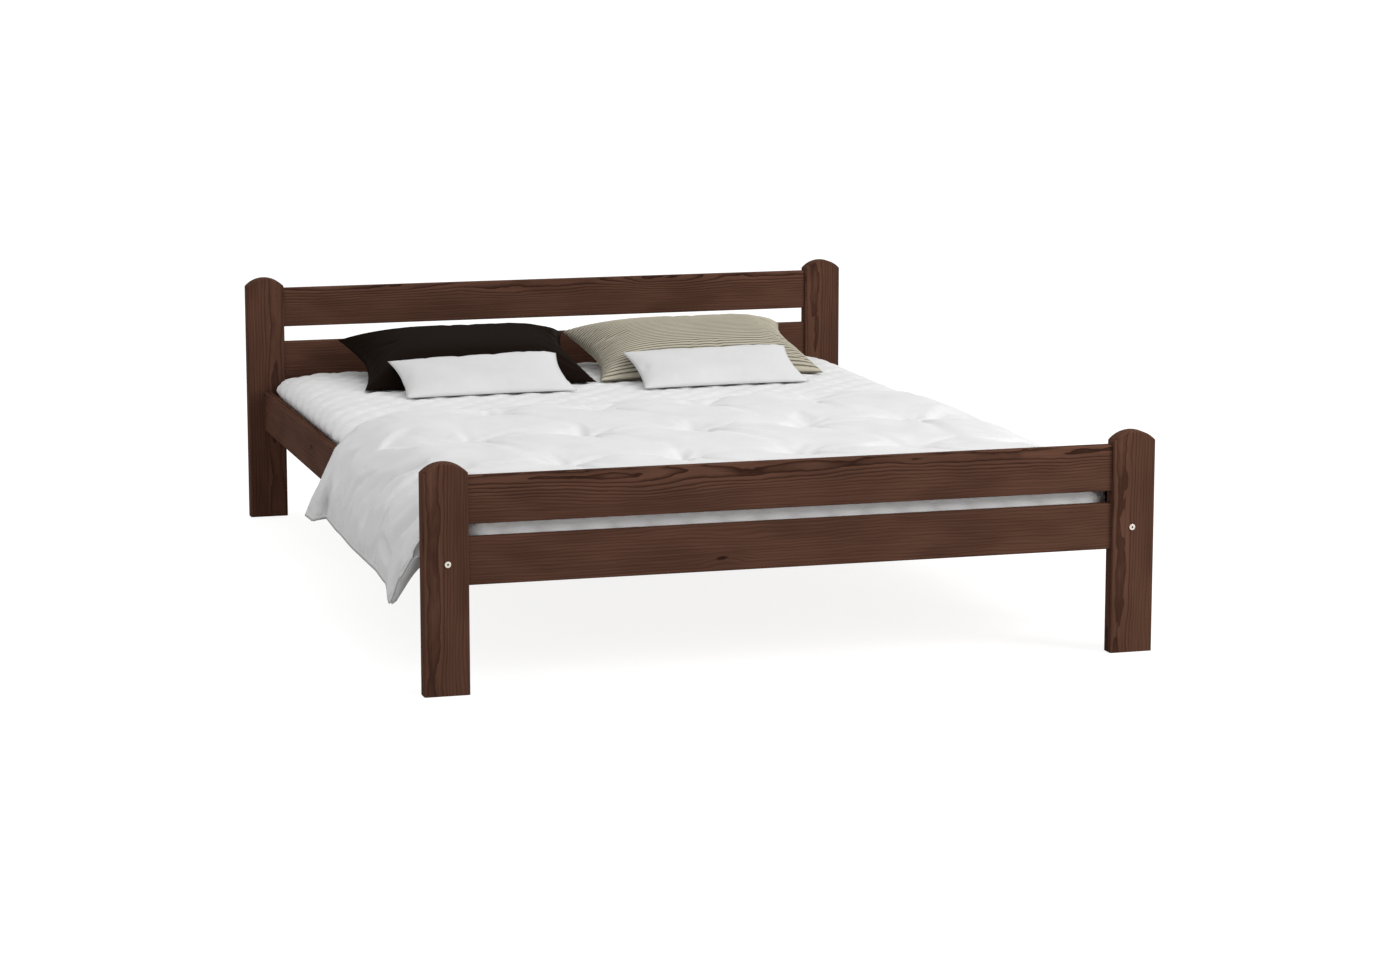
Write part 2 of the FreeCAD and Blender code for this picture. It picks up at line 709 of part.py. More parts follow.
def quilt_section(y, thin, flare, hem_rise):
    """Closed outline across the bed at y. thin is taken off the top towards the quilt's ends."""
    half, rail = value("mattress_width/2"), value("side_rail_outer_x")
    top = value("mattress_top") - crown_drop(y + value("mattress_length/2"))
    rail_top = value("side_rail_bottom + side_rail_height")
    halfway = (top + rail_top) / 2
    flat = half - value("quilt_shoulder")
    flap_out = rail + value("quilt_side_flare") + flare
    hem_z = rail_top - value("quilt_side_drop") + hem_rise

    def crest(x):
        return Vector(x, y, top + quilt_puff(x, y) - thin)

    def right_side():
        over = [Vector(half - 35, y, top + 5 - thin / 2), Vector(half + 5, y, halfway + 12),
                Vector(rail + 8, y, rail_top + 23), Vector(rail + 26, y, rail_top + 1)]
        hem = [Vector(flap_out, y, hem_z), Vector(flap_out - value("quilt_hem"), y, hem_z - 3)]
        under = [Vector(rail + 12, y, rail_top - 4), Vector(half + 13, y, rail_top + 12),
                 Vector(half - 10, y, halfway)]
        outer_middle = (over[3] + hem[0]) * 0.5 + Vector(5, 0, 0)
        inner_middle = (under[0] + hem[1]) * 0.5 + Vector(4, 0, 0)
        return [through(crest(flat), over[0], over[1]), through(over[1], over[2], over[3]),
                through(over[3], outer_middle, hem[0]), Part.LineSegment(*hem).toShape(),
                through(hem[1], inner_middle, under[0]), Part.LineSegment(under[0], under[1]).toShape(),
                Part.LineSegment(under[1], under[2]).toShape()]

    step = 2 * flat / TOP_ARCS
    ridges = [-flat + k * step for k in range(TOP_ARCS)]
    top_edges = [through(crest(x), crest(x + step / 2), crest(x + step)) for x in ridges]
    right = right_side()
    left = [edge.mirror(Vector(0, 0, 0), Vector(1, 0, 0)) for edge in right]
    low = right[-1].Vertexes[-1].Point
    bottom = Part.LineSegment(low, Vector(-low.x, low.y, low.z)).toShape()
    return Part.Wire(Part.sortEdges(top_edges + right + [bottom] + left)[0])


def quilt_corner_room(side):
    """Upright prism that takes off one head corner, where the quilt sweeps back to hang down the side."""
    head, overlap = value("quilt_head_y"), 60
    start = Vector(value("mattress_width/2 - quilt_corner_in"), head)
    end = Vector(value("side_rail_outer_x"), head - value("quilt_corner_back"))
    bend = Vector(start.x + 0.6 * (end.x - start.x), start.y + 0.35 * (end.y - start.y))
    far_x = end.x + 2 * value("quilt_side_flare") + overlap
    points = [start, bend, end, Vector(far_x, end.y), Vector(far_x, head + overlap), start + Vector(0, overlap)]
    low, high = value("low_rail_bottom - quilt_side_drop"), value("mattress_top + quilt_puff") + overlap
    corners = [Vector(side * point.x, point.y, low) for point in points]
    edges = [through(*corners[:3])]
    edges += [Part.LineSegment(a, b).toShape() for a, b in zip(corners[2:], corners[3:] + corners[:1])]
    return Part.Face(Part.Wire(edges)).extrude(Vector(0, 0, high - low))


row_step, flank = value("tuft_row_pitch/2"), value("tuft_flank")
row_a = value("tuft_margin")
row_b, row_c = row_a + 2 * row_step, row_a + 4 * row_step
quilt_end = value("quilt_length")
QUILT_STATIONS = [
    # distance from the head hem, thinning of the top, flare of the side, rise of its hem
    (0, 13, 30, 0),
    (row_a - flank, 3, 30, 0),
    (row_a, 0, 30, 0),
    (row_a + flank, 0, 29, 0),
    (row_a + row_step, 0, 26, 0),
    (row_b - flank, 0, 4, 3),
    (row_b, 0, -8, 4),
    (row_b + flank, 0, -2, 2),
    (row_b + row_step, 0, 10, -2),
    (row_c - flank, 0, -1, 1),
    (row_c, 0, -6, 2),
    (row_c + flank, 0, -1, -5),
    (quilt_end - 110, 0, 12, -26),
    (quilt_end - 45, 2, 2, 40),
    (quilt_end, 10, -18, 78),
]
quilt_wires = [quilt_section(value("quilt_head_y") - away, *shape) for away, *shape in QUILT_STATIONS]
quilt_blank = form("quilt_blank", Part.makeLoft(quilt_wires, True, True))
corner_rooms = [form("quilt_corner_room", quilt_corner_room(side)) for side in SIDES.values()]
carve("quilt", quilt_blank, mattress_room, *corner_rooms)


# Pillows: crowned forms with sides that pull in between the corners
def pillow_outline(half_x, half_y, side_bow, front_bow, shift, z):
    """Four arcs between four corners; a negative bow pulls the sides in."""
    corners = [Vector(half_x, -half_y + shift, z), Vector(half_x, half_y + shift, z),
               Vector(-half_x, half_y + shift, z), Vector(-half_x, -half_y + shift, z)]
    edges = []
    for start, end, bow in zip(corners, corners[1:] + corners[:1], 2 * [side_bow, front_bow]):
        outward = (end - start).cross(UP).normalize()
        edges.append(through(start, (start + end) * 0.5 + outward * bow, end))
    return Part.Wire(edges)


PILLOW_LEVELS = (-1, -0.88, -0.65, -0.35, 0, 0.35, 0.65, 0.88, 1)
CROWN_BOW = 0.1


def pillow_form(name, grow, lean):
    """Stack of outlines, widest and most drawn in at the seam, rounder and smaller towards the crown."""
    half_x = value(f"{name}_length/2") + grow
    half_y = value(f"{name}_depth/2") + grow
    half_z = value(f"{name}_thickness/2") + grow
    wires = []
    for level in PILLOW_LEVELS:
        away = abs(level)
        share = 1 - 0.15 * away - 0.45 * away ** 4
        side_bow = away * CROWN_BOW * 2 * half_y - (1 - away) * value(f"{name}_side_pull")
        front_bow = away * CROWN_BOW * 2 * half_x - (1 - away) * value(f"{name}_front_pull")
        wires.append(pillow_outline(half_x * share, half_y * share, side_bow * share, front_bow * share,
                                    lean * max(level, 0), half_z * level))
    return Part.makeLoft(wires, True, True)


def laid(piece, x, front_y, front_z, depth, tilt, turn=0):
    """Lay a pillow with its front hem at the given place and its back hem raised by the tilt."""
    lift = FreeCAD.Rotation(UP, turn).multiply(FreeCAD.Rotation(Vector(1, 0, 0), tilt))
    middle = Vector(x, front_y, front_z) + lift.multVec(Vector(0, depth / 2, 0))
    piece.Placement = FreeCAD.Placement(middle, lift)
    return piece


big_depth, big_tilt = value("big_pillow_depth"), value("big_pillow_tilt")
big_back = value("end_rail_inner_y - big_pillow_head_gap")
big_front = big_back - big_depth * math.cos(math.radians(big_tilt))
big_rise = value("mattress_top + big_pillow_front_rise")
small_front = big_front - value("small_pillow_reach")
small_rise = value("mattress_top + small_pillow_front_rise")


def big_pillow(label, side):
    x = side * value("big_pillow_length/2 + big_pillow_between/2")
    solid = form(label + "_blank", pillow_form("big_pillow", 0, value("big_pillow_lean")))
    room = form(label + "_room", pillow_form("big_pillow", value("soft_gap"), value("big_pillow_lean")))
    for piece in (solid, room):
        laid(piece, x, big_front, big_rise, big_depth, big_tilt)
    carve(label, solid, mattress_room)
    return room


def small_pillow(label, x, turn, behind):
    solid = form(label + "_blank", pillow_form("small_pillow", 0, 0))
    laid(solid, x, small_front, small_rise, value("small_pillow_depth"), value("small_pillow_tilt"), turn)
    carve(label, solid, mattress_room, behind)


dark_room = big_pillow("dark_pillow", -1)
striped_room = big_pillow("striped_pillow", 1)
small_pillow("white_pillow_left", -value("small_pillow_left_centre"), 0, dark_room)
small_pillow("white_pillow_right", value("small_pillow_right_centre"), value("small_pillow_turn"), striped_room)

# Checks, then one file for each piece
doc.recompute()
for piece in doc.Objects:
    if {"Invalid", "Error"} & set(piece.State):
        raise RuntimeError(f"{piece.Label} failed: {piece.State}")
for pocket, area in bores:
    removed = pocket.BaseFeature.Shape.Volume - pocket.Shape.Volume
    if removed < area:
        raise RuntimeError(f"{pocket.Label} cuts only {removed:.1f} cubic millimetres")
for piece in nodes:
    if piece.Shape.isNull() or not piece.Shape.isValid():
        raise RuntimeError(f"{piece.Label} has no valid shape")

os.makedirs("parts", exist_ok=True)
for piece in nodes:
    piece.Shape.exportStep(f"parts/{piece.Label}.step")
print(f"{len(nodes)} pieces, {value('bed_width'):.0f} wide and {value('bed_length'):.0f} long")
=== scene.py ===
"""Looks of a slatted double bed: stained pine, bare slats, steel fittings and white bedding."""
import math

import bmesh
import bpy
import numpy as np
from mathutils import Matrix, Vector, noise
from mathutils.bvhtree import BVHTree


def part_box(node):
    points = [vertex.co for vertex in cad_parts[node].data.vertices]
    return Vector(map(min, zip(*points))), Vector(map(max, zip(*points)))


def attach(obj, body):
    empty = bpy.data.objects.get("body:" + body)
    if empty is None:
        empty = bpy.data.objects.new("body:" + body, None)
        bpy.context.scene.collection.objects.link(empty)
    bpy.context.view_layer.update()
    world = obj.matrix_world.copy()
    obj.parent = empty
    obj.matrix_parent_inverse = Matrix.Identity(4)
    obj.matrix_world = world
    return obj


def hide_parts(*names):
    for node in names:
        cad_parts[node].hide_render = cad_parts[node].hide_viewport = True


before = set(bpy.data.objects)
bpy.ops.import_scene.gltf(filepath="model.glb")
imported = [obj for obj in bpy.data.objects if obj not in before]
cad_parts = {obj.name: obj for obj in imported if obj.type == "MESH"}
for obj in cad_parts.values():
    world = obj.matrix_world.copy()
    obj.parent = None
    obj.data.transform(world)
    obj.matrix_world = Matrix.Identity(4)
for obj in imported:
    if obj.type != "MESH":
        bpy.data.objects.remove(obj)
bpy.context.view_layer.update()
scene = bpy.context.scene


# Bedstead boards: planed pine under a dark walnut stain, with a matt finish. Every board is cut from a
# log of its own, so its growth rings lie round a pith line that runs near the board, along its grain.
def new_material(name):
    material = bpy.data.materials.new(name)
    material.use_nodes = True
    return material, material.node_tree, material.node_tree.nodes["Principled BSDF"]


def node(tree, kind, inputs=None, **settings):
    """Add a node; an input is either a value or the socket that feeds it."""
    made = tree.nodes.new(kind)
    for key, setting in settings.items():
        setattr(made, key, setting)
    for key, source in (inputs or {}).items():
        if isinstance(source, bpy.types.NodeSocket):
            tree.links.new(source, made.inputs[key])
        else:
            made.inputs[key].default_value = source
    return made


def math_node(tree, operation, first, second=0.0):
    return node(tree, "ShaderNodeMath", {0: first, 1: second}, operation=operation).outputs[0]


def vector_node(tree, operation, first, second):
    return node(tree, "ShaderNodeVectorMath", {0: first, 1: second}, operation=operation).outputs[0]


def length_node(tree, vector):
    return node(tree, "ShaderNodeVectorMath", {0: vector}, operation="LENGTH").outputs["Value"]


def scale_node(tree, colour, tone):
    return node(tree, "ShaderNodeVectorMath", {0: colour, "Scale": tone}, operation="SCALE").outputs[0]


def mix_node(tree, share, first, second):
    return node(tree, "ShaderNodeMix", {0: share, 6: first, 7: second}, data_type="RGBA").outputs[2]


def noise_node(tree, place, scale, detail=2.0):
    """Noise with its own scale along each axis."""
    stretched = vector_node(tree, "MULTIPLY", place, scale)
    return node(tree, "ShaderNodeTexNoise", {"Vector": stretched, "Scale": 1.0, "Detail": detail}).outputs


def eased(tree, value, start, end, low, high):
    """Smooth step of a value between two limits."""
    limits = {"Value": value, "From Min": start, "From Max": end, "To Min": low, "To Max": high}
    return node(tree, "ShaderNodeMapRange", limits, interpolation_type="SMOOTHSTEP").outputs[0]


def set_ramp(ramp, stops):
    elements = ramp.color_ramp.elements
    while len(elements) < len(stops):
        elements.new(0.5)
    for element, (position, colour) in zip(elements, stops):
        element.position = position
        element.color = (*colour, 1)


def blend(first, second, share):
    return tuple((1 - share) * a + share * b for a, b in zip(first, second))


def pine_along(tree, order, centre):
    """Place in the board: along the grain, across the face, and into it, from the board's middle."""
    spot = node(tree, "ShaderNodeTexCoord").outputs["Object"]
    from_middle = vector_node(tree, "SUBTRACT", spot, tuple(centre))
    axes = node(tree, "ShaderNodeSeparateXYZ", {0: from_middle}).outputs
    chosen = {index: axes[axis] for index, axis in enumerate(order)}
    return node(tree, "ShaderNodeCombineXYZ", chosen).outputs[0]


def drift(tree, place, along, across, reach):
    """Slow wandering of the grain, across the board only."""
    swing = noise_node(tree, place, (along, across, across))[1]
    centred = vector_node(tree, "SUBTRACT", swing, (0.5, 0.5, 0.5))
    return vector_node(tree, "MULTIPLY", centred, (0, reach, reach))


# Waves and ripples of the grain: how many along and across each metre, and how far they push it
GRAIN_WAVES = (2.2, 9, 0.034)
GRAIN_RIPPLES = (14, 40, 0.0072)
# Marks in the wood: how many along, across and into each metre, and the noise levels and tones
FIBRES = (16, 1100, 1100)
FIBRE_TONES = (0.25, 0.75, 0.88, 1.09)
STREAKS = (5, 210, 210)
STREAK_TONES = (0.3, 0.7, 0.90, 1.09)
PATCHES = (6, 16, 16)
PATCH_TONES = (0.3, 0.7, 0.88, 1.12)
# Where in a year's ring the wood turns from early to late and back, and the late share of plain wood
SEASONS = (0, 0.45, 0.72, 0.9, 0.97, 1)
LATE_IN_PLAIN = 0.3
# Knots, in their own size: how far they push the rings, where their heart fades, and their stretch
KNOT_PUSH = 4
KNOT_HEART = (0.3, 0.9)
KNOT_STRETCH = (0.32, 1, 0)
RING_RELIEF = 0.35
GRAIN_RELIEF = {"Strength": 0.22, "Distance": 0.0006}


def pine(tree, surface, place, pith, knots, ring, colours, contrast):
    """Growth rings round the pith, fibre streaks and knots, on the place in a board."""
    early, late, knot_colour = colours
    waved = vector_node(tree, "ADD", place, drift(tree, place, *GRAIN_WAVES))
    bent = vector_node(tree, "ADD", waved, drift(tree, place, *GRAIN_RIPPLES))
    from_pith = vector_node(tree, "SUBTRACT", bent, (0, *pith))
    radius = length_node(tree, vector_node(tree, "MULTIPLY", from_pith, (0, 1, 1)))
    heart = 0.0
    for along, up, size, push, darkness in knots:
        from_knot = vector_node(tree, "SUBTRACT", bent, (along, up, 0))
        reach = length_node(tree, vector_node(tree, "MULTIPLY", from_knot, KNOT_STRETCH))
        radius = math_node(tree, "ADD", radius, eased(tree, reach, 0, KNOT_PUSH * size, push, 0))
        start, end = (share * size for share in KNOT_HEART)
        heart = math_node(tree, "MAXIMUM", heart, eased(tree, reach, start, end, darkness, 0))
    season = math_node(tree, "FRACT", math_node(tree, "DIVIDE", radius, ring))
    rings = node(tree, "ShaderNodeValToRGB", {0: season})
    middle = blend(early, late, 0.5)
    set_ramp(rings, list(zip(SEASONS, (early, early, middle, late, late, early))))
    plain = blend(early, late, LATE_IN_PLAIN)
    toned = mix_node(tree, eased(tree, radius, *contrast), (*plain, 1), rings.outputs[0])
    fibre = noise_node(tree, place, FIBRES, detail=3.0)[0]
    streak = noise_node(tree, place, STREAKS)[0]
    patch = noise_node(tree, place, PATCHES, detail=1.0)[0]
    tone = eased(tree, fibre, *FIBRE_TONES)
    tone = math_node(tree, "MULTIPLY", tone, eased(tree, streak, *STREAK_TONES))
    tone = math_node(tree, "MULTIPLY", tone, eased(tree, patch, *PATCH_TONES))
    spotted = mix_node(tree, heart, scale_node(tree, toned, tone), (*knot_colour, 1))
    tree.links.new(spotted, surface.inputs["Base Color"])
    relief = math_node(tree, "ADD", math_node(tree, "MULTIPLY", season, RING_RELIEF), fibre)
    grain = node(tree, "ShaderNodeBump", {**GRAIN_RELIEF, "Height": relief})
    tree.links.new(grain.outputs[0], surface.inputs["Normal"])
    return fibre


# Early wood, late wood and the heart of a knot
STAINED_PINE = ((0.114, 0.0540, 0.0360), (0.0387, 0.0174, 0.0119), (0.016, 0.0070, 0.0053))
STAINED_RING = 0.0062
STAINED_ROUGHNESS = (0.2, 0.8, 0.42, 0.58)
# Axes along the grain, across the face and into the board
GRAIN = {"post": (2, 0, 1), "end_rail": (0, 2, 1), "side_rail": (1, 2, 0)}
# How strongly the rings show close to the pith and far from it, and where between they fade
FIGURE = {"post": (0.72, 0.30), "end_rail": (1.0, 0.30), "side_rail": (0.9, 0.32)}
FIGURE_FADE = (0.016, 0.058)
# Kind of board, how far the pith lies across and into it, and its knots: place along and across, size,
# how far they push the rings aside, and how dark their heart is
BOARDS = {
    "foot_post_left": ("post", (-0.027, 0.004), []),
    "foot_post_right": ("post", (-0.028, 0.005), []),
    "head_post_left": ("post", (0.024, 0.006), []),
    "head_post_right": ("post", (-0.022, 0.006), []),
    "footboard_top_rail": ("end_rail", (0.038, 0.003), [(-0.327, -0.002, 0.020, -0.014, 0)]),
    "footboard_lower_rail": ("end_rail", (0.088, 0.020), [(-0.158, -0.021, 0.006, 0.009, 0.85)]),
    "headboard_top_rail": ("end_rail", (0.048, 0.006), [(0.30, 0.030, 0.018, -0.012, 0)]),
    "headboard_lower_rail": ("end_rail", (-0.070, 0.020), []),
    "headboard_bottom_rail": ("end_rail", (0.075, 0.018), [(0.21, -0.010, 0.007, 0.010, 0.8)]),
    "side_rail_left": ("side_rail", (0.070, 0.018), [(0.36, 0.012, 0.007, 0.010, 0.8)]),
    "side_rail_right": ("side_rail", (-0.060, -0.018), [(-0.52, -0.010, 0.006, 0.010, 0.8)]),
}


def stained_pine(board, kind, pith, knots):
    low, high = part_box(board)
    material, tree, surface = new_material("stained_pine_" + board)
    place = pine_along(tree, GRAIN[kind], (low + high) / 2)
    contrast = (*FIGURE_FADE, *FIGURE[kind])
    fibre = pine(tree, surface, place, pith, knots, STAINED_RING, STAINED_PINE, contrast)
    tree.links.new(eased(tree, fibre, *STAINED_ROUGHNESS), surface.inputs["Roughness"])
    surface.inputs["Specular IOR Level"].default_value = 0.001
    return material


def dress(name, material):
    """Give a carried-over piece its material."""
    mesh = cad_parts[name].data
    mesh.materials.clear()
    mesh.materials.append(material)


for board, (kind, pith, knots) in BOARDS.items():
    dress(board, stained_pine(board, kind, pith, knots))


# Slat base: bare pine ledgers, slats and centre beam, sawn and lightly planed, without stain.
# Each slat is cut from another turn of its log, so that no two show the same figure.
BARE_PINE = ((0.66, 0.44, 0.235), (0.45, 0.235, 0.095), (0.16, 0.07, 0.03))
BARE_RING = 0.0058
BARE_CONTRAST = (0.02, 0.09, 0.9, 0.7)
SLATS = [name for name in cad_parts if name.startswith("slat_") and name[5:].isdigit()]
SLAT_GRAIN = (0, 1, 2)
SLAT_TURN = 2.4
# Pith of a slat's log: its swing across, its least depth and its swing in depth
PITH_ACROSS = 0.045
PITH_DEPTH = 0.014
PITH_DEEPER = 0.022
# Knot of a slat: how fast it wanders along, how far along and across, and what kind of knot it is
KNOT_TURN = 1.7
KNOT_ALONG = 0.5
KNOT_ACROSS = 0.02
SLAT_KNOT = (0.007, 0.01, 0.8)
LONG_GRAIN = (1, 2, 0)
LONG_PITHS = {"slat_ledger_left": (0.03, 0.02), "slat_ledger_right": (-0.03, 0.02),
              "centre_beam": (0.04, 0.03)}


def bare_pine(name, order, pith, knots=()):
    low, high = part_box(name)
    material, tree, surface = new_material("bare_pine_" + name)
    place = pine_along(tree, order, (low + high) / 2)
    pine(tree, surface, place, pith, knots, BARE_RING, BARE_PINE, BARE_CONTRAST)
    surface.inputs["Roughness"].default_value = 0.62
    return material


for number, name in enumerate(sorted(SLATS)):
    turn = SLAT_TURN * number
    pith = (PITH_ACROSS * math.cos(turn), PITH_DEPTH + PITH_DEEPER * abs(math.sin(turn)))
    knot = (KNOT_ALONG * math.sin(KNOT_TURN * turn), KNOT_ACROSS * math.cos(turn), *SLAT_KNOT)
    dress(name, bare_pine(name, SLAT_GRAIN, pith, [knot]))
for name, pith in LONG_PITHS.items():
    dress(name, bare_pine(name, LONG_GRAIN, pith))


# Fittings: beech dowels, nickelled bolts with a six-sided socket, and zinc-plated nuts, screws and
# beam hangers. They hold the boards together and only the bolt heads show.
PLATE_TONES = (0.3, 0.7, 0.86, 1.0)
PLATE_BAND = (0.2, 0.8)
NICKEL = (0.72, 0.65, 0.58)
ZINC = (0.56, 0.58, 0.61)
# Painted shade inside the bolt sockets: the tone of the metal there, and the depths behind the bolt face
# where it fades in
SOCKET_PAINTED_SHADE = 0.12
SOCKET_DEPTHS = (0.0022, 0.0012)
BEECH_FLECKS = (60, 700, 700)
BEECH_TONES = [(0.3, (0.50, 0.29, 0.15)), (0.7, (0.66, 0.43, 0.25))]


def plated(name, colour, roughness, mottle, painted_shade_behind=None):
    """Plated steel: an even metal, cloudy from its plating, with painted shade in a socket behind the given
    face.
    """
    material, tree, surface = new_material(name)
    spot = node(tree, "ShaderNodeTexCoord").outputs["Object"]
    cloud = noise_node(tree, spot, (mottle, mottle, mottle), detail=3.0)[0]
    shade = eased(tree, cloud, *PLATE_TONES)
    if painted_shade_behind:
        # Painted shade: the metal deeper than the given depths behind the face is darkened, as the socket's
        # shade
        out = math_node(tree, "ABSOLUTE", node(tree, "ShaderNodeSeparateXYZ", {0: spot}).outputs[1])
        shade = math_node(tree, "MULTIPLY", shade, eased(tree, out, *painted_shade_behind, SOCKET_PAINTED_SHADE, 1.0))
    tree.links.new(scale_node(tree, colour, shade), surface.inputs["Base Color"])
    tree.links.new(eased(tree, cloud, *PLATE_BAND, *roughness), surface.inputs["Roughness"])
    surface.inputs["Metallic"].default_value = 1.0
    return material


bolt_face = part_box("side_rail_bolts")[1].y
# Depths behind the bolt face past which the nickel gets painted shade in its socket
socket = [bolt_face - depth for depth in SOCKET_DEPTHS]
nickel = plated("nickel_plate", NICKEL, roughness=(0.28, 0.42), mottle=900.0, painted_shade_behind=socket)
zinc = plated("zinc_plate", ZINC, roughness=(0.36, 0.50), mottle=420.0)
beech, beech_tree, beech_surface = new_material("beech_dowel")
beech_spot = node(beech_tree, "ShaderNodeTexCoord").outputs["Object"]
fleck = noise_node(beech_tree, beech_spot, BEECH_FLECKS)[0]
beech_ramp = node(beech_tree, "ShaderNodeValToRGB", {0: fleck})
set_ramp(beech_ramp, BEECH_TONES)
beech_tree.links.new(beech_ramp.outputs[0], beech_surface.inputs["Base Color"])
beech_surface.inputs["Roughness"].default_value = 0.6
dress("side_rail_bolts", nickel)
for fitting in ("side_rail_barrel_nuts", "ledger_screws", "slat_screws", "hanger_screws",
                "beam_hanger_foot", "beam_hanger_head"):
    dress(fitting, zinc)
for dowels in ("headboard_dowels", "footboard_dowels", "side_rail_dowels"):
    dress(dowels, beech)


# Mattress: a thin foam mattress in a white knit cover quilted in small lozenges. It is crowned on top,
# rounded at its edges and lies loose on the slats, between the rails.
mattress_low, mattress_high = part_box("mattress_cover")
rail_out, rail_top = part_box("side_rail_right")[1].x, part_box("side_rail_right")[1].z
half_bed = mattress_high.x
MATTRESS_CROWN = 0.046
MATTRESS_CROWN_REACH = 0.150
HEAD_CROWN = 0.032
HEAD_CROWN_REACH = 0.085
CROWN_CHANGE = (0.10, 0.35)
# Bulge over the side rails: how far, how wide, where along the bed and how high over the rail it sets in
SIDE_BULGE = 0.012
SIDE_BULGE_WIDTH = 0.06
SIDE_BULGE_START = (0.05, 0.16)
SIDE_BULGE_RISE = (0.002, 0.010)
# Bulge towards the end rails: how far, and how far from the end it sets in and is full
END_BULGE = 0.009
END_BULGE_INSET = (0.03, 0.006)
MATTRESS_VOXEL = 0.009
LOZENGE = 0.075
LOZENGE_ROUND = 0.6
COVER_PUFF = 0.0054
COVER_DRAWN = 0.0012
# Slight pull of the cover: its height, its waves across and along each metre, and its seed
COVER_PULL = 0.0008
PULL_ACROSS = 1.4
PULL_ALONG = 11
PULL_SEED = 5.0
FACING_UP = 0.55
SLAT_GAP = 0.0005
MATTRESS_WHITE = (0.84, 0.84, 0.84)


def ease(value, start, end):
    """Smooth step of a number or an array between two limits."""
    share = np.clip((value - start) / (end - start), 0, 1)
    return share * share * (3 - 2 * share)


def crowned(x, y, crown, reach):
    """Height of a top whose crown falls away over its reach towards the sides."""
    inset = np.minimum(mattress_high.x - np.abs(x), mattress_high.y - np.abs(y))
    left = np.clip(1 - inset / reach, 0, 1)
    return mattress_high.z - crown * (1 - np.sqrt(1 - left ** 2))


def mattress_top(x, y):
    """Height of the mattress at a place: squarer where the pillows lie than under the quilt."""
    pressed = crowned(x, y, MATTRESS_CROWN, MATTRESS_CROWN_REACH)
    free = crowned(x, y, HEAD_CROWN, HEAD_CROWN_REACH)
    return pressed + ease(y, *CROWN_CHANGE) * (free - pressed)


def triples(items, key):
    values = np.empty(3 * len(items))
    items.foreach_get(key, values)
    return values.reshape(-1, 3)


def points_of(mesh):
    return triples(mesh.vertices, "co")


def set_points(mesh, points):
    mesh.vertices.foreach_set("co", points.astype(np.float32).ravel())
    mesh.update()


def placed(name, data):
    made = bpy.data.objects.new(name, data)
    scene.collection.objects.link(made)
    return made


def apply_modifiers(piece):
    """Turn what the modifiers make into the piece's own plain mesh."""
    bpy.context.view_layer.update()
    made = bpy.data.meshes.new_from_object(piece.evaluated_get(bpy.context.evaluated_depsgraph_get()))
    piece.modifiers.clear()
    piece.data = made


def finish_piece(piece, body, slot, material, *stood_for):
    """Smooth shading, material, and what the piece rides on and stands for."""
    piece.data.materials.clear()
    piece.data.materials.append(material)
    piece.data.shade_smooth()
    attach(piece, body)
    if stood_for:
        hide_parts(*stood_for)


# A wave texture of this scale repeats once each metre
WAVE_PER_METRE = math.pi / 10
THREAD_WAVES = {"Distortion": 0.6, "Detail": 1.0}
CLOTH_CLOUDS = (9, 9, 9)
CLOUD_TONES = (0.25, 0.75, 0.96, 1.02)
THREAD_TONES = (0, 1, 0.95, 1.02)
# Painted shade in the grooves between cords: tone from a cord's middle to the groove beside it
GROOVE_SHADE_TONES = (0.16, 0.5, 1.0, 0.2)


def cloth(name, colour, roughness, weave, relief, shine, uv=True, groove_shade_pitch=None):
    """Woven cloth: threads both ways at the weave's pitch, slight unevenness of tone, a soft shine, and
    painted shade in grooves at a given pitch.
    """
    material, tree, surface = new_material(name)
    if uv:
        spot = node(tree, "ShaderNodeUVMap", uv_map="cloth").outputs[0]
    else:
        spot = node(tree, "ShaderNodeTexCoord").outputs["Object"]
    wave = {"Vector": spot, "Scale": WAVE_PER_METRE / weave, **THREAD_WAVES}
    waves = [node(tree, "ShaderNodeTexWave", wave, bands_direction=way).outputs["Fac"] for way in "XY"]
    threads = math_node(tree, "MULTIPLY", *waves)
    cloud = noise_node(tree, spot, CLOTH_CLOUDS, detail=3.0)[0]
    tone = eased(tree, cloud, *CLOUD_TONES)
    tone = math_node(tree, "MULTIPLY", tone, eased(tree, threads, *THREAD_TONES))
    # Painted shade: the tone darkens towards each groove between the cords
    if groove_shade_pitch:
        along = node(tree, "ShaderNodeSeparateXYZ", {0: spot}).outputs[1]
        share = math_node(tree, "FRACT", math_node(tree, "DIVIDE", along, groove_shade_pitch))
        from_middle = math_node(tree, "ABSOLUTE", math_node(tree, "SUBTRACT", share, 0.5))
        tone = math_node(tree, "MULTIPLY", tone, eased(tree, from_middle, *GROOVE_SHADE_TONES))
    tree.links.new(scale_node(tree, colour, tone), surface.inputs["Base Color"])
    bump = node(tree, "ShaderNodeBump", {"Strength": relief, "Distance": weave / 2, "Height": threads})
    tree.links.new(bump.outputs[0], surface.inputs["Normal"])
    surface.inputs["Roughness"].default_value = roughness
    surface.inputs["Specular IOR Level"].default_value = shine
    return material


mattress = placed("mattress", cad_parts["mattress_core"].data.copy())
merged = bmesh.new()
merged.from_mesh(mattress.data)
bmesh.ops.remove_doubles(merged, verts=merged.verts, dist=1e-5)
merged.to_mesh(mattress.data)
merged.free()
remesh = mattress.modifiers.new("even_faces", "REMESH")
remesh.mode = "VOXEL"
remesh.voxel_size = MATTRESS_VOXEL
smooth = mattress.modifiers.new("soft_edges", "SMOOTH")
smooth.factor = 0.5
smooth.iterations = 8
apply_modifiers(mattress)


def lozenge_puff(across, along):
    """Full in the middle of each lozenge, drawn in along its stitched sides."""
    one = np.abs(np.sin(math.pi * (across + along) / LOZENGE))
    other = np.abs(np.sin(math.pi * (across - along) / LOZENGE))
    return np.minimum(one, other) ** LOZENGE_ROUND


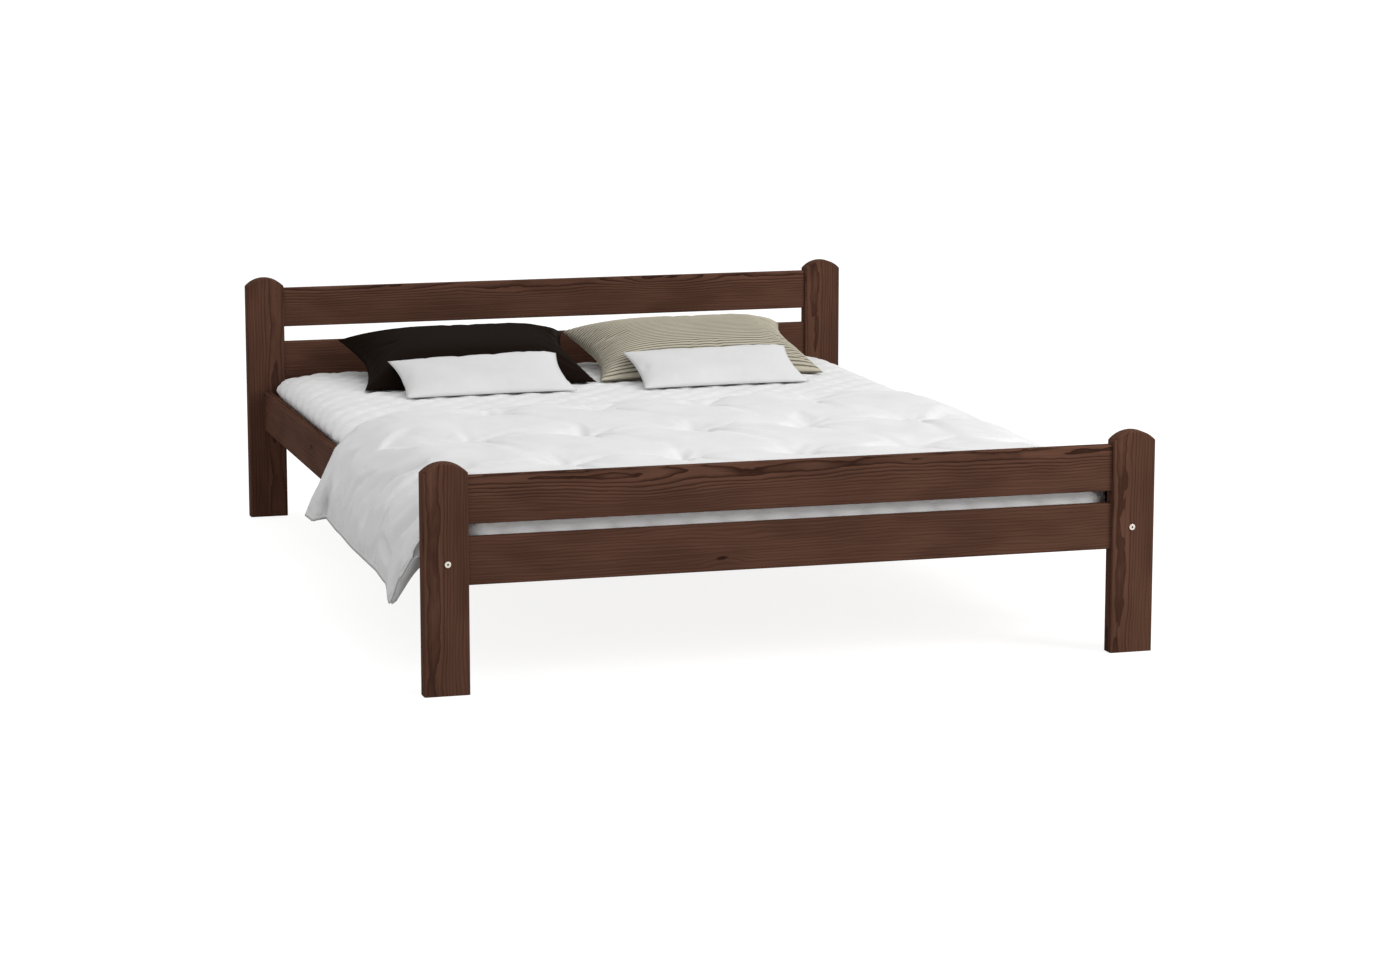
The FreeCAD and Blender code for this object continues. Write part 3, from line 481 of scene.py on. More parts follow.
spots = points_of(mattress.data)
pressed_top = crowned(spots[:, 0], spots[:, 1], MATTRESS_CROWN, MATTRESS_CROWN_REACH)
grown = (mattress_top(spots[:, 0], spots[:, 1]) - mattress_low.z) / (pressed_top - mattress_low.z)
spots[:, 2] = mattress_low.z + (spots[:, 2] - mattress_low.z) * grown
height = (spots[:, 2] - mattress_low.z) / (pressed_top * grown - mattress_low.z)
end_share = ease(np.abs(spots[:, 1]), *(mattress_high.y - inset for inset in END_BULGE_INSET))
near_side = np.clip(1 - (half_bed - np.abs(spots[:, 0])) / SIDE_BULGE_WIDTH, 0, 1)
side_share = near_side * ease(spots[:, 1], *SIDE_BULGE_START)
over_rail = ease(spots[:, 2], *(rail_top + rise for rise in SIDE_BULGE_RISE))
rounded = np.clip(4 * height * (1 - height), 0, 1)
spots[:, 0] += np.sign(spots[:, 0]) * SIDE_BULGE * side_share * over_rail
spots[:, 1] += np.sign(spots[:, 1]) * END_BULGE * end_share * rounded
set_points(mattress.data, spots)
facing = triples(mattress.data.vertex_normals, "vector")
upright = np.abs(facing[:, 2]) > FACING_UP
top_puff = lozenge_puff(spots[:, 0], spots[:, 1])
side_along = np.where(np.abs(facing[:, 0]) > np.abs(facing[:, 1]), spots[:, 1], spots[:, 0])
side_puff = np.abs(np.sin(math.pi * side_along / LOZENGE)) ** LOZENGE_ROUND
puff = COVER_PUFF * np.where(upright, top_puff, side_puff)
pull = np.array([noise.noise((PULL_ACROSS * x, PULL_ALONG * y, PULL_SEED)) for x, y, _ in spots])
spots = spots + facing * (puff - COVER_DRAWN + np.where(upright, COVER_PULL * pull, 0))[:, None]
spots[:, 2] = np.maximum(spots[:, 2], mattress_low.z + SLAT_GAP)
set_points(mattress.data, spots)
knit = cloth("mattress_knit", MATTRESS_WHITE, roughness=0.85, weave=0.0024, relief=0.35, shine=0.1, uv=False)
finish_piece(mattress, "mattress", "mattress_cloth", knit, "mattress_cover", "mattress_core")


# Quilt: a white cotton quilt, tufted in staggered rows, that covers the foot half of the bed. Its sides
# hang over the side rails in soft folds, its head corners sweep back and its foot end tucks in.
quilt_low, quilt_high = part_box("quilt")
quilt_span = quilt_high.y - quilt_low.y
QUILT_PUFF = 0.024
QUILT_GRID = 0.007
HALF_COLUMNS = 128
CURVE_STEPS = 24
QUILT_WHITE = (0.80, 0.80, 0.80)
HEM_THIN = 0.014
HEM_REACH = 0.09
HEM_ROUND = 0.006
SIDE_DROP = 0.121
SIDE_FLARE = 0.062
CORNER_IN = 0.225
CORNER_BACK = 0.205
CORNER_SWEEP = 1.7
CORNER_FADE = 1.6
# Shoulder of the quilt: x from the mattress's side, and z from the crest, the crest, the top and halfway down
SHOULDER = [(-0.13, 0.0), (-0.075, -0.004), (-0.035, 0.006), (0.005, 0.013)]
# Over the rail: x from the rail's outer side and z from its top
OVER_RAIL = [(0.009, 0.022), (0.026, 0.001)]
# Hanging side: shares of the rail and of the hem in its middle, and how far it stands out there
RAIL_SHARE = 0.45
HEM_SHARE = 0.55
SIDE_BELLY = 0.006
# Folds of the hanging side: distance from the head hem, how far it stands out, how far its hem is raised
LEFT_FOLDS = [(0.0, 0.031, 0.002), (0.072, 0.025, -0.002), (0.094, -0.004, 0.004), (0.30, 0.000, 0.002),
              (0.55, 0.003, -0.001), (0.80, 0.001, -0.003), (0.93, 0.003, -0.008), (1.02, 0.011, -0.034),
              (1.09, 0.002, 0.030), (1.14, -0.014, 0.078)]
RIGHT_FOLDS = [(0.0, 0.029, 0.002), (0.08, 0.022, 0.0), (0.14, 0.002, 0.002), (0.36, -0.002, 0.003),
               (0.52, 0.006, -0.002), (0.70, -0.003, 0.002), (0.88, 0.005, -0.002), (1.00, 0.010, -0.026),
               (1.09, 0.002, 0.032), (1.14, -0.014, 0.075)]


def smooth_run(stations, places):
    """Values at the given places, eased between listed stations."""
    stations = np.array(stations)
    index = np.clip(np.searchsorted(stations[:, 0], places, side="right") - 1, 0, len(stations) - 2)
    start, end = stations[index], stations[index + 1]
    share = ease(places, start[:, 0], end[:, 0])
    return start[:, 1:] + (end[:, 1:] - start[:, 1:]) * share[:, None]


def between(points, steps):
    """Further points on a smooth curve through the given ones, along the first axis."""
    points = np.asarray(points, float)
    ends = np.concatenate([2 * points[:1] - points[1:2], points, 2 * points[-1:] - points[-2:-1]])
    a, b, c, d = ends[:-3], ends[1:-2], ends[2:-1], ends[3:]
    runs = []
    for t in np.linspace(0, 1, steps, endpoint=False):
        runs.append(0.5 * (2 * b + (c - a) * t + (2 * a - 5 * b + 4 * c - d) * t ** 2
                           + (3 * b - a - 3 * c + d) * t ** 3))
    joined = np.stack(runs, axis=1).reshape(-1, *points.shape[1:])
    return np.concatenate([joined, points[-1:]])


def curve_through(points, count):
    """Evenly spaced points on a smooth curve through the given ones, and its length."""
    fine = between(points, CURVE_STEPS)
    gone = np.concatenate([[0], np.cumsum(np.linalg.norm(np.diff(fine, axis=0), axis=1))])
    even = np.linspace(0, gone[-1], count)
    return np.column_stack([np.interp(even, gone, column) for column in fine.T]), gone[-1]


def quilt_half(side_folds, away, y, count):
    """One row of the quilt's outside from the middle of the bed to the hem, as x and z, and its length."""
    flare, rise = smooth_run(side_folds, np.array([away]))[0]
    foot_gap = y + mattress_high.y
    top = float(mattress_top(0.0, y)) if foot_gap < MATTRESS_CROWN_REACH else mattress_high.z
    to_hem = min(away, quilt_span - away)
    crest = top + QUILT_PUFF - HEM_THIN * max(0, 1 - to_hem / HEM_REACH) ** 2
    hem_x, hem_z = rail_out + SIDE_FLARE + flare, rail_top - SIDE_DROP + rise
    levels = (crest, crest, top, (top + rail_top) / 2)
    shoulder = [(half_bed + x, level + z) for (x, z), level in zip(SHOULDER, levels)]
    over_rail = [(rail_out + x, rail_top + z) for x, z in OVER_RAIL]
    hanging_x = RAIL_SHARE * over_rail[-1][0] + HEM_SHARE * hem_x + SIDE_BELLY
    side = [(hanging_x, RAIL_SHARE * rail_top + HEM_SHARE * hem_z), (hem_x, hem_z)]
    outline = [(0, crest), (half_bed / 2, crest), *shoulder, *over_rail, *side]
    return curve_through(outline, count)


rows = int(quilt_span / QUILT_GRID) + 1
columns = 2 * HALF_COLUMNS - 1
outside = np.zeros((rows, columns, 3))
sheet = np.zeros((rows, columns, 2))
shares = np.linspace(0, 1, HALF_COLUMNS)
middle_column = HALF_COLUMNS - 1
for row in range(rows):
    share = row / (rows - 1)
    for side, folds in ((-1, LEFT_FOLDS), (1, RIGHT_FOLDS)):
        away = share * quilt_span
        run, length = quilt_half(folds, away, quilt_high.y - away, HALF_COLUMNS)
        x = run[:, 0]
        swept = np.clip((x - (half_bed - CORNER_IN)) / (rail_out + SIDE_FLARE - half_bed + CORNER_IN), 0, 1)
        back = CORNER_BACK * swept ** CORNER_SWEEP * (1 - share) ** CORNER_FADE
        wanted = slice(middle_column, None) if side > 0 else slice(middle_column, None, -1)
        outside[row, wanted] = np.column_stack([side * x, quilt_high.y - away - back, run[:, 1]])
        sheet[row, wanted] = np.column_stack([side * shares * length, quilt_high.y - away - back])
sheet_x, sheet_y = sheet[..., 0], sheet[..., 1]


def grid_normals(grid):
    """Upward normals of a grid whose columns run right and whose rows run back."""
    across, along = np.gradient(grid, axis=1), np.gradient(grid, axis=0)
    normals = np.cross(across, along)
    return normals / np.linalg.norm(normals, axis=2, keepdims=True)


TUFT_ROWS = 3
TUFT_COLUMNS = range(-4, 4)
TUFT_PITCH = 0.25
TUFT_ROW_PITCH = 0.35
TUFT_MARGIN = 0.10
# Weak tufts lie outside the first width at the head, and outside the second one everywhere
WEAK_AT_HEAD = 0.55
WEAK_ON_SHOULDER = 0.7
WEAK_TUFT = 0.2
DIP_DEPTH = 0.011
DIP_REACH = 0.080
PINCH_DEPTH = 0.007
PINCH_REACH = 0.022
PINCH_POWER = 1.5
# Creases out of each tuft: direction in degrees, how far they reach and how deep they start
TUFT_CREASES = [(-76, 0.110, 0.0115), (104, 0.055, 0.0065), (-6, 0.090, 0.0075), (175, 0.050, 0.0045)]
CREASE_START = 0.012
CREASE_WIDTH = 0.007
CREASE_WIDENING = 0.05
CREASE_LIP = 0.25
# How far a crease swings in degrees and in reach, and how the swing goes on with each tuft and crease
CREASE_SWING = 16
SWING_STEPS = (5.1, 2.3)
REACH_SWING = 0.3
REACH_STEPS = (3.3, 2)
# Tufts: place across and along the sheet, and a number that sets how their creases swing
tufts = []
for tuft_row in range(TUFT_ROWS):
    tuft_y = quilt_high.y - TUFT_MARGIN - tuft_row * TUFT_ROW_PITCH
    shift = 0.5 if tuft_row % 2 == 0 else 0.0
    tufts += [((column + shift) * TUFT_PITCH, tuft_y, 10 * tuft_row + column) for column in TUFT_COLUMNS]


def tuft_strength(x, y):
    """Tufts near the swept head corners and on the shoulders of the quilt pull less."""
    at_corner = abs(x) > WEAK_AT_HEAD and y > 0
    return WEAK_TUFT if at_corner or abs(x) > WEAK_ON_SHOULDER else 1.0


def tuft_dips(across, along):
    """How far the top is drawn in round the tufts: a pinch in a wide dip."""
    relief = np.zeros_like(across)
    for x, y, _ in tufts:
        away = np.hypot(across - x, along - y)
        dip = DIP_DEPTH * np.exp(-(away / DIP_REACH) ** 2)
        pinch = PINCH_DEPTH * np.exp(-(away / PINCH_REACH) ** PINCH_POWER)
        relief -= tuft_strength(x, y) * (dip + pinch)
    return relief


def tuft_creases(across, along):
    """Narrow creases that run out of each tuft, with the cloth gathered up a little beside them."""
    relief = np.zeros_like(across)
    for x, y, seed in tufts:
        dx, dy = across - x, along - y
        beyond_pinch = 1 - np.exp(-(np.hypot(dx, dy) / CREASE_START) ** 2)
        for spoke, (direction, reach, depth) in enumerate(TUFT_CREASES):
            swing = CREASE_SWING * math.sin(np.dot(SWING_STEPS, (seed, spoke)))
            angle = math.radians(direction + swing)
            reach = reach * (1 + REACH_SWING * math.sin(np.dot(REACH_STEPS, (seed, spoke))))
            run = dx * math.cos(angle) + dy * math.sin(angle)
            off = np.abs(-dx * math.sin(angle) + dy * math.cos(angle))
            width = CREASE_WIDTH + CREASE_WIDENING * np.clip(run, 0, 1)
            lip = CREASE_LIP * np.exp(-((off - 2 * width) / width) ** 2)
            profile = np.exp(-(off / width) ** 2) - lip
            fade = np.exp(-np.clip(run, 0, 1) / reach) * (run > 0) * beyond_pinch
            relief -= tuft_strength(x, y) * depth * profile * fade
    return relief


# Creases of the hanging sides: their upper and lower end, depth and half width
DRAPE_CREASES = [
    ((-0.650, -0.545, 0.378), (-0.750, -0.495, 0.312), 0.014, 0.017),
    ((-0.740, -0.500, 0.325), (-0.780, -0.515, 0.250), 0.008, 0.018),
    ((-0.715, -0.840, 0.352), (-0.780, -0.800, 0.246), 0.016, 0.018),
    ((-0.776, -0.690, 0.256), (-0.788, -0.815, 0.232), 0.017, 0.011),
    ((-0.766, -0.132, 0.270), (-0.788, -0.108, 0.196), 0.010, 0.010),
    ((0.680, -0.425, 0.374), (0.786, -0.390, 0.240), 0.008, 0.013),
    ((0.720, -0.765, 0.346), (0.782, -0.740, 0.230), 0.011, 0.012),
]


def drape_creases(points, facing):
    """How far the hanging sides are drawn in along their creases."""
    relief = np.zeros(points.shape[:2])
    for upper, lower, depth, width in DRAPE_CREASES:
        start, run = np.array(upper), np.array(lower) - np.array(upper)
        share = np.clip((points - start) @ run / (run @ run), 0, 1)
        off = points - start - share[..., None] * run
        off = np.linalg.norm(off - facing * np.sum(off * facing, axis=2, keepdims=True), axis=2)
        relief -= depth * np.exp(-(off / width) ** 2) * np.sqrt(np.clip(4 * share * (1 - share), 0, 1))
    return relief


# Unevenness of the lying quilt: height, size across and seed of each noise, longer along than across
RUMPLES = [(0.0035, 0.16, 3.0), (0.0016, 0.06, 8.0)]
RUMPLE_STRETCH = 1.6


def rumple(grid, size, seed):
    """Soft unevenness of lying cloth, from smooth noise."""
    flat = grid.reshape(-1, grid.shape[-1])
    levels = [noise.noise((x / size, y / (RUMPLE_STRETCH * size), seed)) for x, y in flat]
    return np.array(levels).reshape(grid.shape[:2])


HEM_FADE = 0.05
HEM_FADE_POWER = 0.7
row_edge, column_edge = (np.minimum(np.arange(count), np.arange(count)[::-1]) for count in (rows, columns))
edge = np.minimum.outer(row_edge, column_edge) * QUILT_GRID
hem_fade = np.clip(edge / HEM_FADE, 0, 1) ** HEM_FADE_POWER
normals = -grid_normals(outside)
relief = tuft_dips(sheet_x, sheet_y)
relief += sum(rise * rumple(sheet, size, seed) for rise, size, seed in RUMPLES)
base = outside.copy()
outside = outside + normals * (relief * hem_fade)[..., None]


def quads(index):
    """Faces of a grid of point numbers whose columns run right and whose rows run back."""
    corners = [index[:-1, :-1], index[:-1, 1:], index[1:, 1:], index[1:, :-1]]
    return np.stack(corners, axis=-1).reshape(-1, 4)


def new_piece(name, points, faces, cloth_map=None):
    mesh = bpy.data.meshes.new(name)
    mesh.from_pydata(points.tolist(), [], faces.tolist())
    if cloth_map is not None:
        corner_vertices = np.empty(len(mesh.loops), dtype=np.int32)
        mesh.loops.foreach_get("vertex_index", corner_vertices)
        layer = mesh.uv_layers.new(name="cloth")
        layer.data.foreach_set("uv", cloth_map[corner_vertices].astype(np.float32).ravel())
    return placed(name, mesh)


QUILT_FILL = {"pressure": 1.2, "slack": 0.02, "cap": 0.006, "stiffness": 12}
HELD_REACH = 0.012
SWELL_FRAMES = 20


def swell(piece, held, pressure, slack, cap, stiffness):
    """Let the cloth fill out under a soft pressure. Held points stay, and no point moves beyond the cap."""
    start = points_of(piece.data)
    group = piece.vertex_groups.new(name="held")
    group.add([int(k) for k in held], 1.0, "REPLACE")
    simulated = piece.modifiers.new("swell", "CLOTH")
    settings = simulated.settings
    settings.vertex_group_mass = "held"
    settings.use_pressure = True
    settings.uniform_pressure_force = pressure
    settings.shrink_min = -slack
    settings.tension_stiffness = settings.compression_stiffness = stiffness
    settings.bending_stiffness = 0.6
    settings.effector_weights.gravity = 0
    simulated.point_cache.frame_start, simulated.point_cache.frame_end = 1, SWELL_FRAMES
    for number in range(1, SWELL_FRAMES + 1):
        scene.frame_set(number)
    apply_modifiers(piece)
    scene.frame_set(1)
    piece.vertex_groups.clear()
    moved = points_of(piece.data) - start
    length = np.linalg.norm(moved, axis=1, keepdims=True)
    set_points(piece.data, start + moved * np.minimum(1, cap / np.maximum(length, 1e-9)))


index = np.arange(rows * columns).reshape(rows, columns)
quilt_top = new_piece("quilt_top", outside.reshape(-1, 3), quads(index)[:, ::-1])
near_tuft = np.zeros((rows, columns), bool)
for x, y, _ in tufts:
    if tuft_strength(x, y) == 1:
        near_tuft |= np.hypot(sheet_x - x, sheet_y - y) < HELD_REACH
held = np.flatnonzero((near_tuft | (edge < HELD_REACH)).ravel())
swell(quilt_top, held, **QUILT_FILL)
outside = points_of(quilt_top.data).reshape(rows, columns, 3)
bpy.data.objects.remove(quilt_top)
creased = tuft_creases(sheet_x, sheet_y) * hem_fade + drape_creases(base, normals)
outside = outside + normals * creased[..., None]

# Thickness of the quilt at the hem, and how it grows inward
HEM_WALL = 0.006
PUFF_LOSS = 0.009
WALL_REACH = 0.06
# Thick foot corners: where they set in along the quilt, out from the rail and in from the hem
FOOT_START = 0.86
FOOT_RUN = 0.08
HANGING = (-0.005, 0.055)
TIP_REACH = 0.07
TIP_POWER = 0.6
TIP_WALL = 0.044
inward = np.clip(edge / WALL_REACH, 0, 1)
thickness = HEM_WALL + (QUILT_PUFF - PUFF_LOSS) * np.sqrt(inward * (2 - inward))
foot_share = np.clip((np.arange(rows) / (rows - 1) - FOOT_START) / FOOT_RUN, 0, 1)[:, None]
hanging_share = ease(np.abs(outside[..., 0]), *(rail_out + step for step in HANGING))
tip_share = np.clip(column_edge * QUILT_GRID / TIP_REACH, 0, 1) ** TIP_POWER
thickness = np.maximum(thickness, HEM_WALL + TIP_WALL * foot_share * hanging_share * tip_share)
inside = base - normals * thickness[..., None]

# Room between the quilt's inside and what it lies on: the mattress, the rail's top and the rail's side
BED_GAP = 0.0012
BED_INSET = 0.004
RAIL_TOP_GAP = 0.003
RAIL_TOP_INSET = 0.01
RAIL_SIDE_GAP = 0.002
RAIL_SIDE_RISE = 0.006
bed_under = mattress_top(inside[..., 0], inside[..., 1]) + BED_GAP
over_bed = np.abs(inside[..., 0]) < half_bed - BED_INSET
inside[..., 2] = np.where(over_bed, np.maximum(inside[..., 2], bed_under), inside[..., 2])
base_out = np.abs(base[..., 0])
over_rail = (base_out > half_bed - RAIL_TOP_INSET) & (base_out <= rail_out)
inside[..., 2] = np.where(over_rail, np.maximum(inside[..., 2], rail_top + RAIL_TOP_GAP), inside[..., 2])
beside_rail = (base_out > rail_out) & (inside[..., 2] < rail_top + RAIL_SIDE_RISE)
rail_side = np.sign(inside[..., 0]) * np.maximum(np.abs(inside[..., 0]), rail_out + RAIL_SIDE_GAP)
inside[..., 0] = np.where(beside_rail, rail_side, inside[..., 0])


def rim_loop(grid):
    """Points round the edge of a grid, in order."""
    return np.concatenate([grid[0, :-1], grid[:-1, -1], grid[-1, :0:-1], grid[:0:-1, 0]])


RIM_TURNS = (math.pi / 4, math.pi / 2, 3 * math.pi / 4)
RIM_ROUND = 0.4
INSIDE_SHIFT = 0.003
rim_out, rim_in = rim_loop(outside), rim_loop(inside)
rim_run = np.roll(rim_out, -1, axis=0) - np.roll(rim_out, 1, axis=0)
rim_way = np.cross(rim_run, rim_loop(normals))
rim_way /= np.linalg.norm(rim_way, axis=1, keepdims=True)
rim_bulge = np.minimum(RIM_ROUND * np.linalg.norm(rim_out - rim_in, axis=1, keepdims=True), HEM_ROUND)
rim_middle, rim_half = (rim_out + rim_in) / 2, (rim_out - rim_in) / 2
rim_rows = [rim_middle + rim_half * math.cos(turn) + rim_way * rim_bulge * math.sin(turn)
            for turn in RIM_TURNS]
rim_index = 2 * rows * columns + np.arange(len(RIM_TURNS) * len(rim_out)).reshape(len(RIM_TURNS), -1)
rim_index = np.vstack([rim_loop(index), rim_index, rim_loop(index) + rows * columns])
rim_index = np.column_stack([rim_index, rim_index[:, 0]])
quilt_points = np.vstack([outside.reshape(-1, 3), inside.reshape(-1, 3), *rim_rows])
quilt_faces = np.vstack([quads(index)[:, ::-1], quads(index + rows * columns), quads(rim_index)])
flat_map = sheet.reshape(-1, 2)
quilt_map = np.vstack([flat_map, flat_map + INSIDE_SHIFT, *len(RIM_TURNS) * [rim_loop(sheet)]])
quilt = new_piece("quilt_cover", quilt_points, quilt_faces, quilt_map)
shell = bmesh.new()
shell.from_mesh(quilt.data)
bmesh.ops.recalc_face_normals(shell, faces=shell.faces)
shell.to_mesh(quilt.data)
shell.free()
quilt_cotton = cloth("quilt_cotton", QUILT_WHITE, roughness=0.8, weave=0.0011, relief=0.25, shine=0.2)
finish_piece(quilt, "quilt", "quilt_cloth", quilt_cotton, "quilt")


# Quilt sewing: a running stitch inside the hem and a crossed tie in each tuft, in white cotton thread.
# The stitches are laid along runs of points on the quilt's outside and ride with it.
STITCH_PITCH = 0.0075
STITCH_LENGTH = 0.0052
THREAD = 0.0011
THREAD_WHITE = (0.74, 0.74, 0.74)
THREAD_LIFT = 0.0003
STITCH_BEAD = {"Segments": 8, "Rings": 5, "Radius": 0.5}
# Grid steps from the hem to its stitches, and that a tie keeps from the side hems
HEM_STEPS = 2
TIE_STEPS = 3


def stitch_tree():
    """Lay a rounded stitch at each pitch along every run of points, turned to follow the run."""
    tree = bpy.data.node_groups.new("running_stitch", "GeometryNodeTree")
    new_socket = tree.interface.new_socket
    new_socket("Runs", in_out="INPUT", socket_type="NodeSocketGeometry")
    kinds = {"Pitch": "Float", "Stitch Length": "Float", "Thread": "Float", "Cotton": "Material"}
    sockets = [new_socket(label, in_out="INPUT", socket_type="NodeSocket" + kind).identifier
               for label, kind in kinds.items()]
    new_socket("Stitches", in_out="OUTPUT", socket_type="NodeSocketGeometry")
    given = node(tree, "NodeGroupInput").outputs
    thread, cotton = given["Thread"], given["Cotton"]
    lines = node(tree, "GeometryNodeMeshToCurve", {"Mesh": given["Runs"]}).outputs[0]
    spacing = {"Curve": lines, "Length": given["Pitch"]}
    spaced = node(tree, "GeometryNodeResampleCurve", spacing, mode="LENGTH").outputs[0]
    bead = node(tree, "GeometryNodeMeshUVSphere", STITCH_BEAD).outputs["Mesh"]
    size = node(tree, "ShaderNodeCombineXYZ", {0: thread, 1: thread, 2: given["Stitch Length"]}).outputs[0]
    stitch = node(tree, "GeometryNodeTransform", {"Geometry": bead, "Scale": size}).outputs[0]
    way = node(tree, "GeometryNodeInputTangent").outputs[0]
    turn = node(tree, "FunctionNodeAlignRotationToVector", {"Vector": way}, axis="Z").outputs[0]
    laying = {"Points": spaced, "Instance": stitch, "Rotation": turn}
    laid = node(tree, "GeometryNodeInstanceOnPoints", laying).outputs[0]
    whole = node(tree, "GeometryNodeRealizeInstances", {"Geometry": laid}).outputs[0]
    dressed = node(tree, "GeometryNodeSetMaterial", {"Geometry": whole, "Material": cotton}).outputs[0]
    node(tree, "NodeGroupOutput", {"Stitches": dressed})
    return tree, sockets


lifted = outside + normals * THREAD_LIFT
hem_run = rim_loop(lifted[HEM_STEPS:-HEM_STEPS, HEM_STEPS:-HEM_STEPS])
runs = [np.vstack([hem_run, hem_run[:1]])]
for x, y, _ in tufts:
    away = np.hypot(sheet_x - x, sheet_y - y)
    row, column = np.unravel_index(np.argmin(away), (rows, columns))
    if TIE_STEPS < column < columns - 1 - TIE_STEPS and away[row, column] < QUILT_GRID:
        runs += [lifted[row, column - 1:column + 2], lifted[row - 1:row + 2, column]]
run_starts = np.cumsum([0] + [len(run) for run in runs])
run_edges = [(k, k + 1) for start, end in zip(run_starts, run_starts[1:]) for k in range(start, end - 1)]
thread_mesh = bpy.data.meshes.new("quilt_sewing")
thread_mesh.from_pydata(np.vstack(runs).tolist(), run_edges, [])
sewing = placed("quilt_sewing", thread_mesh)
cotton = cloth("cotton_thread", THREAD_WHITE, roughness=0.7, weave=0.0004, relief=0.2, shine=0.2, uv=False)
running_stitch, stitch_sockets = stitch_tree()
stitched = sewing.modifiers.new("running_stitch", "NODES")
stitched.node_group = running_stitch
for socket_name, value in zip(stitch_sockets, (STITCH_PITCH, STITCH_LENGTH, THREAD, cotton)):
    stitched[socket_name] = value
apply_modifiers(sewing)
finish_piece(sewing, "quilt", "quilt_cloth", cotton)


# Pillows: two large ones, dark satin and corded olive, lie side by side against the headboard, and a
# small white satin one leans on each. Two sheets are sewn at a plain seam and filled with fibre.
LARGE = {"length": 0.566, "depth": 0.374, "thickness": 0.120, "side_pull": 0.034, "front_pull": 0.010,
         "ends": (3.2, 5.5)}
SMALL = {"length": 0.416, "depth": 0.198, "thickness": 0.050, "side_pull": 0.012, "front_pull": 0.005,
         "ends": (3.0, 3.0)}
LARGE_FILL = {"pressure": 3.0, "slack": 0.008, "cap": 0.008, "stiffness": 15}
SMALL_FILL = {"pressure": 2.0, "slack": 0.003, "cap": 0.004, "stiffness": 15}
LARGE_LAY = {"depth": LARGE["depth"], "tilt": 11.5}
SMALL_LAY = {"depth": SMALL["depth"], "tilt": 18.5}
LARGE_X = (-0.2765, 0.2970)
LARGE_FORWARD = 0.012
LARGE_TURN = (-0.8, 0.0)
SMALL_X = (-0.2815, 0.2920)
SMALL_REACH = (0.134, 0.142)
SMALL_TURN = (2.0, 1.5)
PILLOW_RISE = 0.002
REST_GAP = 0.0008
LEAN_GAP = 0.0022
LEAN_SMOOTHING = (24, 2)
PILLOW_GRID = 0.006
# Powers of a pillow's form: how its pulled sides bow, how full it is to the front and how round in section
SIDE_BOW = 1.5
FRONT_FULLNESS = 2.6
PILLOW_ROUND = 0.55
CORD_PITCH = 0.0095
CORD_HEIGHT = 0.0022
CORD_ROUND = 0.7
CORD_STEPS = 3
WHITE_SATIN = (0.70, 0.70, 0.70)
DARK_SATIN = (0.0100, 0.0062, 0.0045)
OLIVE = (0.520, 0.478, 0.380)


def pillow_sheets(length, depth, thickness, side_pull, front_pull, ends):
    """Upper and lower sheet of a pillow lying flat, with drawn-in sides and flat ears at its corners."""
    columns, rows = int(length / PILLOW_GRID) | 1, int(depth / PILLOW_GRID) | 1
    u, v = np.meshgrid(np.linspace(-1, 1, columns), np.linspace(-1, 1, rows))
    x = length / 2 * u - side_pull * np.sign(u) * np.abs(u) ** SIDE_BOW * (1 - v ** 2)
    y = depth / 2 * v - front_pull * np.sign(v) * np.abs(v) ** SIDE_BOW * (1 - u ** 2)
    fullness = np.where(u < 0, *ends)
    section = (1 - np.abs(u) ** fullness) * (1 - np.abs(v) ** FRONT_FULLNESS)
    z = thickness / 2 * section ** PILLOW_ROUND
    return np.dstack([x, y, z]), np.dstack([x, y, -z])


def sewn_pillow(name, upper, lower):
    """One closed cover from two sheets that share their rim."""
    rows, columns = upper.shape[:2]
    upper_index = np.arange(rows * columns).reshape(rows, columns)
    lower_index = upper_index.copy()
    inner_count = (rows - 2) * (columns - 2)
    lower_index[1:-1, 1:-1] = rows * columns + np.arange(inner_count).reshape(rows - 2, columns - 2)
    points = np.vstack([upper.reshape(-1, 3), lower[1:-1, 1:-1].reshape(-1, 3)])
    faces = np.vstack([quads(upper_index), quads(lower_index)[:, ::-1]])
    length, depth = np.ptp(upper[..., 0]), np.ptp(upper[..., 1])
    flat = np.dstack(np.meshgrid(np.linspace(0, length, columns), np.linspace(0, depth, rows)))
    flat_map = np.vstack([flat.reshape(-1, 2), flat[1:-1, 1:-1].reshape(-1, 2)])
    return new_piece(name, points, faces, flat_map), upper_index, lower_index


def filled_sheets(name, form, filling):
    """Sheets of a pillow after its filling has pushed them out."""
    upper, lower = pillow_sheets(**form)
    draft, upper_index, lower_index = sewn_pillow(name + "_draft", upper, lower)
    swell(draft, np.unique(rim_loop(upper_index)), **filling)
    points = points_of(draft.data)
    bpy.data.objects.remove(draft)
    return points[upper_index], points[lower_index]


def corded(upper, lower):
    """Finer sheets with the round cords of the cloth standing out along the pillow."""
    sheets = []
    for grid, way in ((upper, 1), (lower, -1)):
        fine = between(grid, CORD_STEPS)
        run = np.linspace(0, np.ptp(upper[..., 1]), len(fine))
        cord = np.abs(np.sin(math.pi * run / CORD_PITCH)) ** CORD_ROUND * CORD_HEIGHT
        cord[[0, -1]] = 0
        rise = np.repeat(cord[:, None], fine.shape[1], axis=1)
        rise[:, [0, -1]] = 0
        sheets.append(fine + way * grid_normals(fine) * rise[..., None])
    return sheets


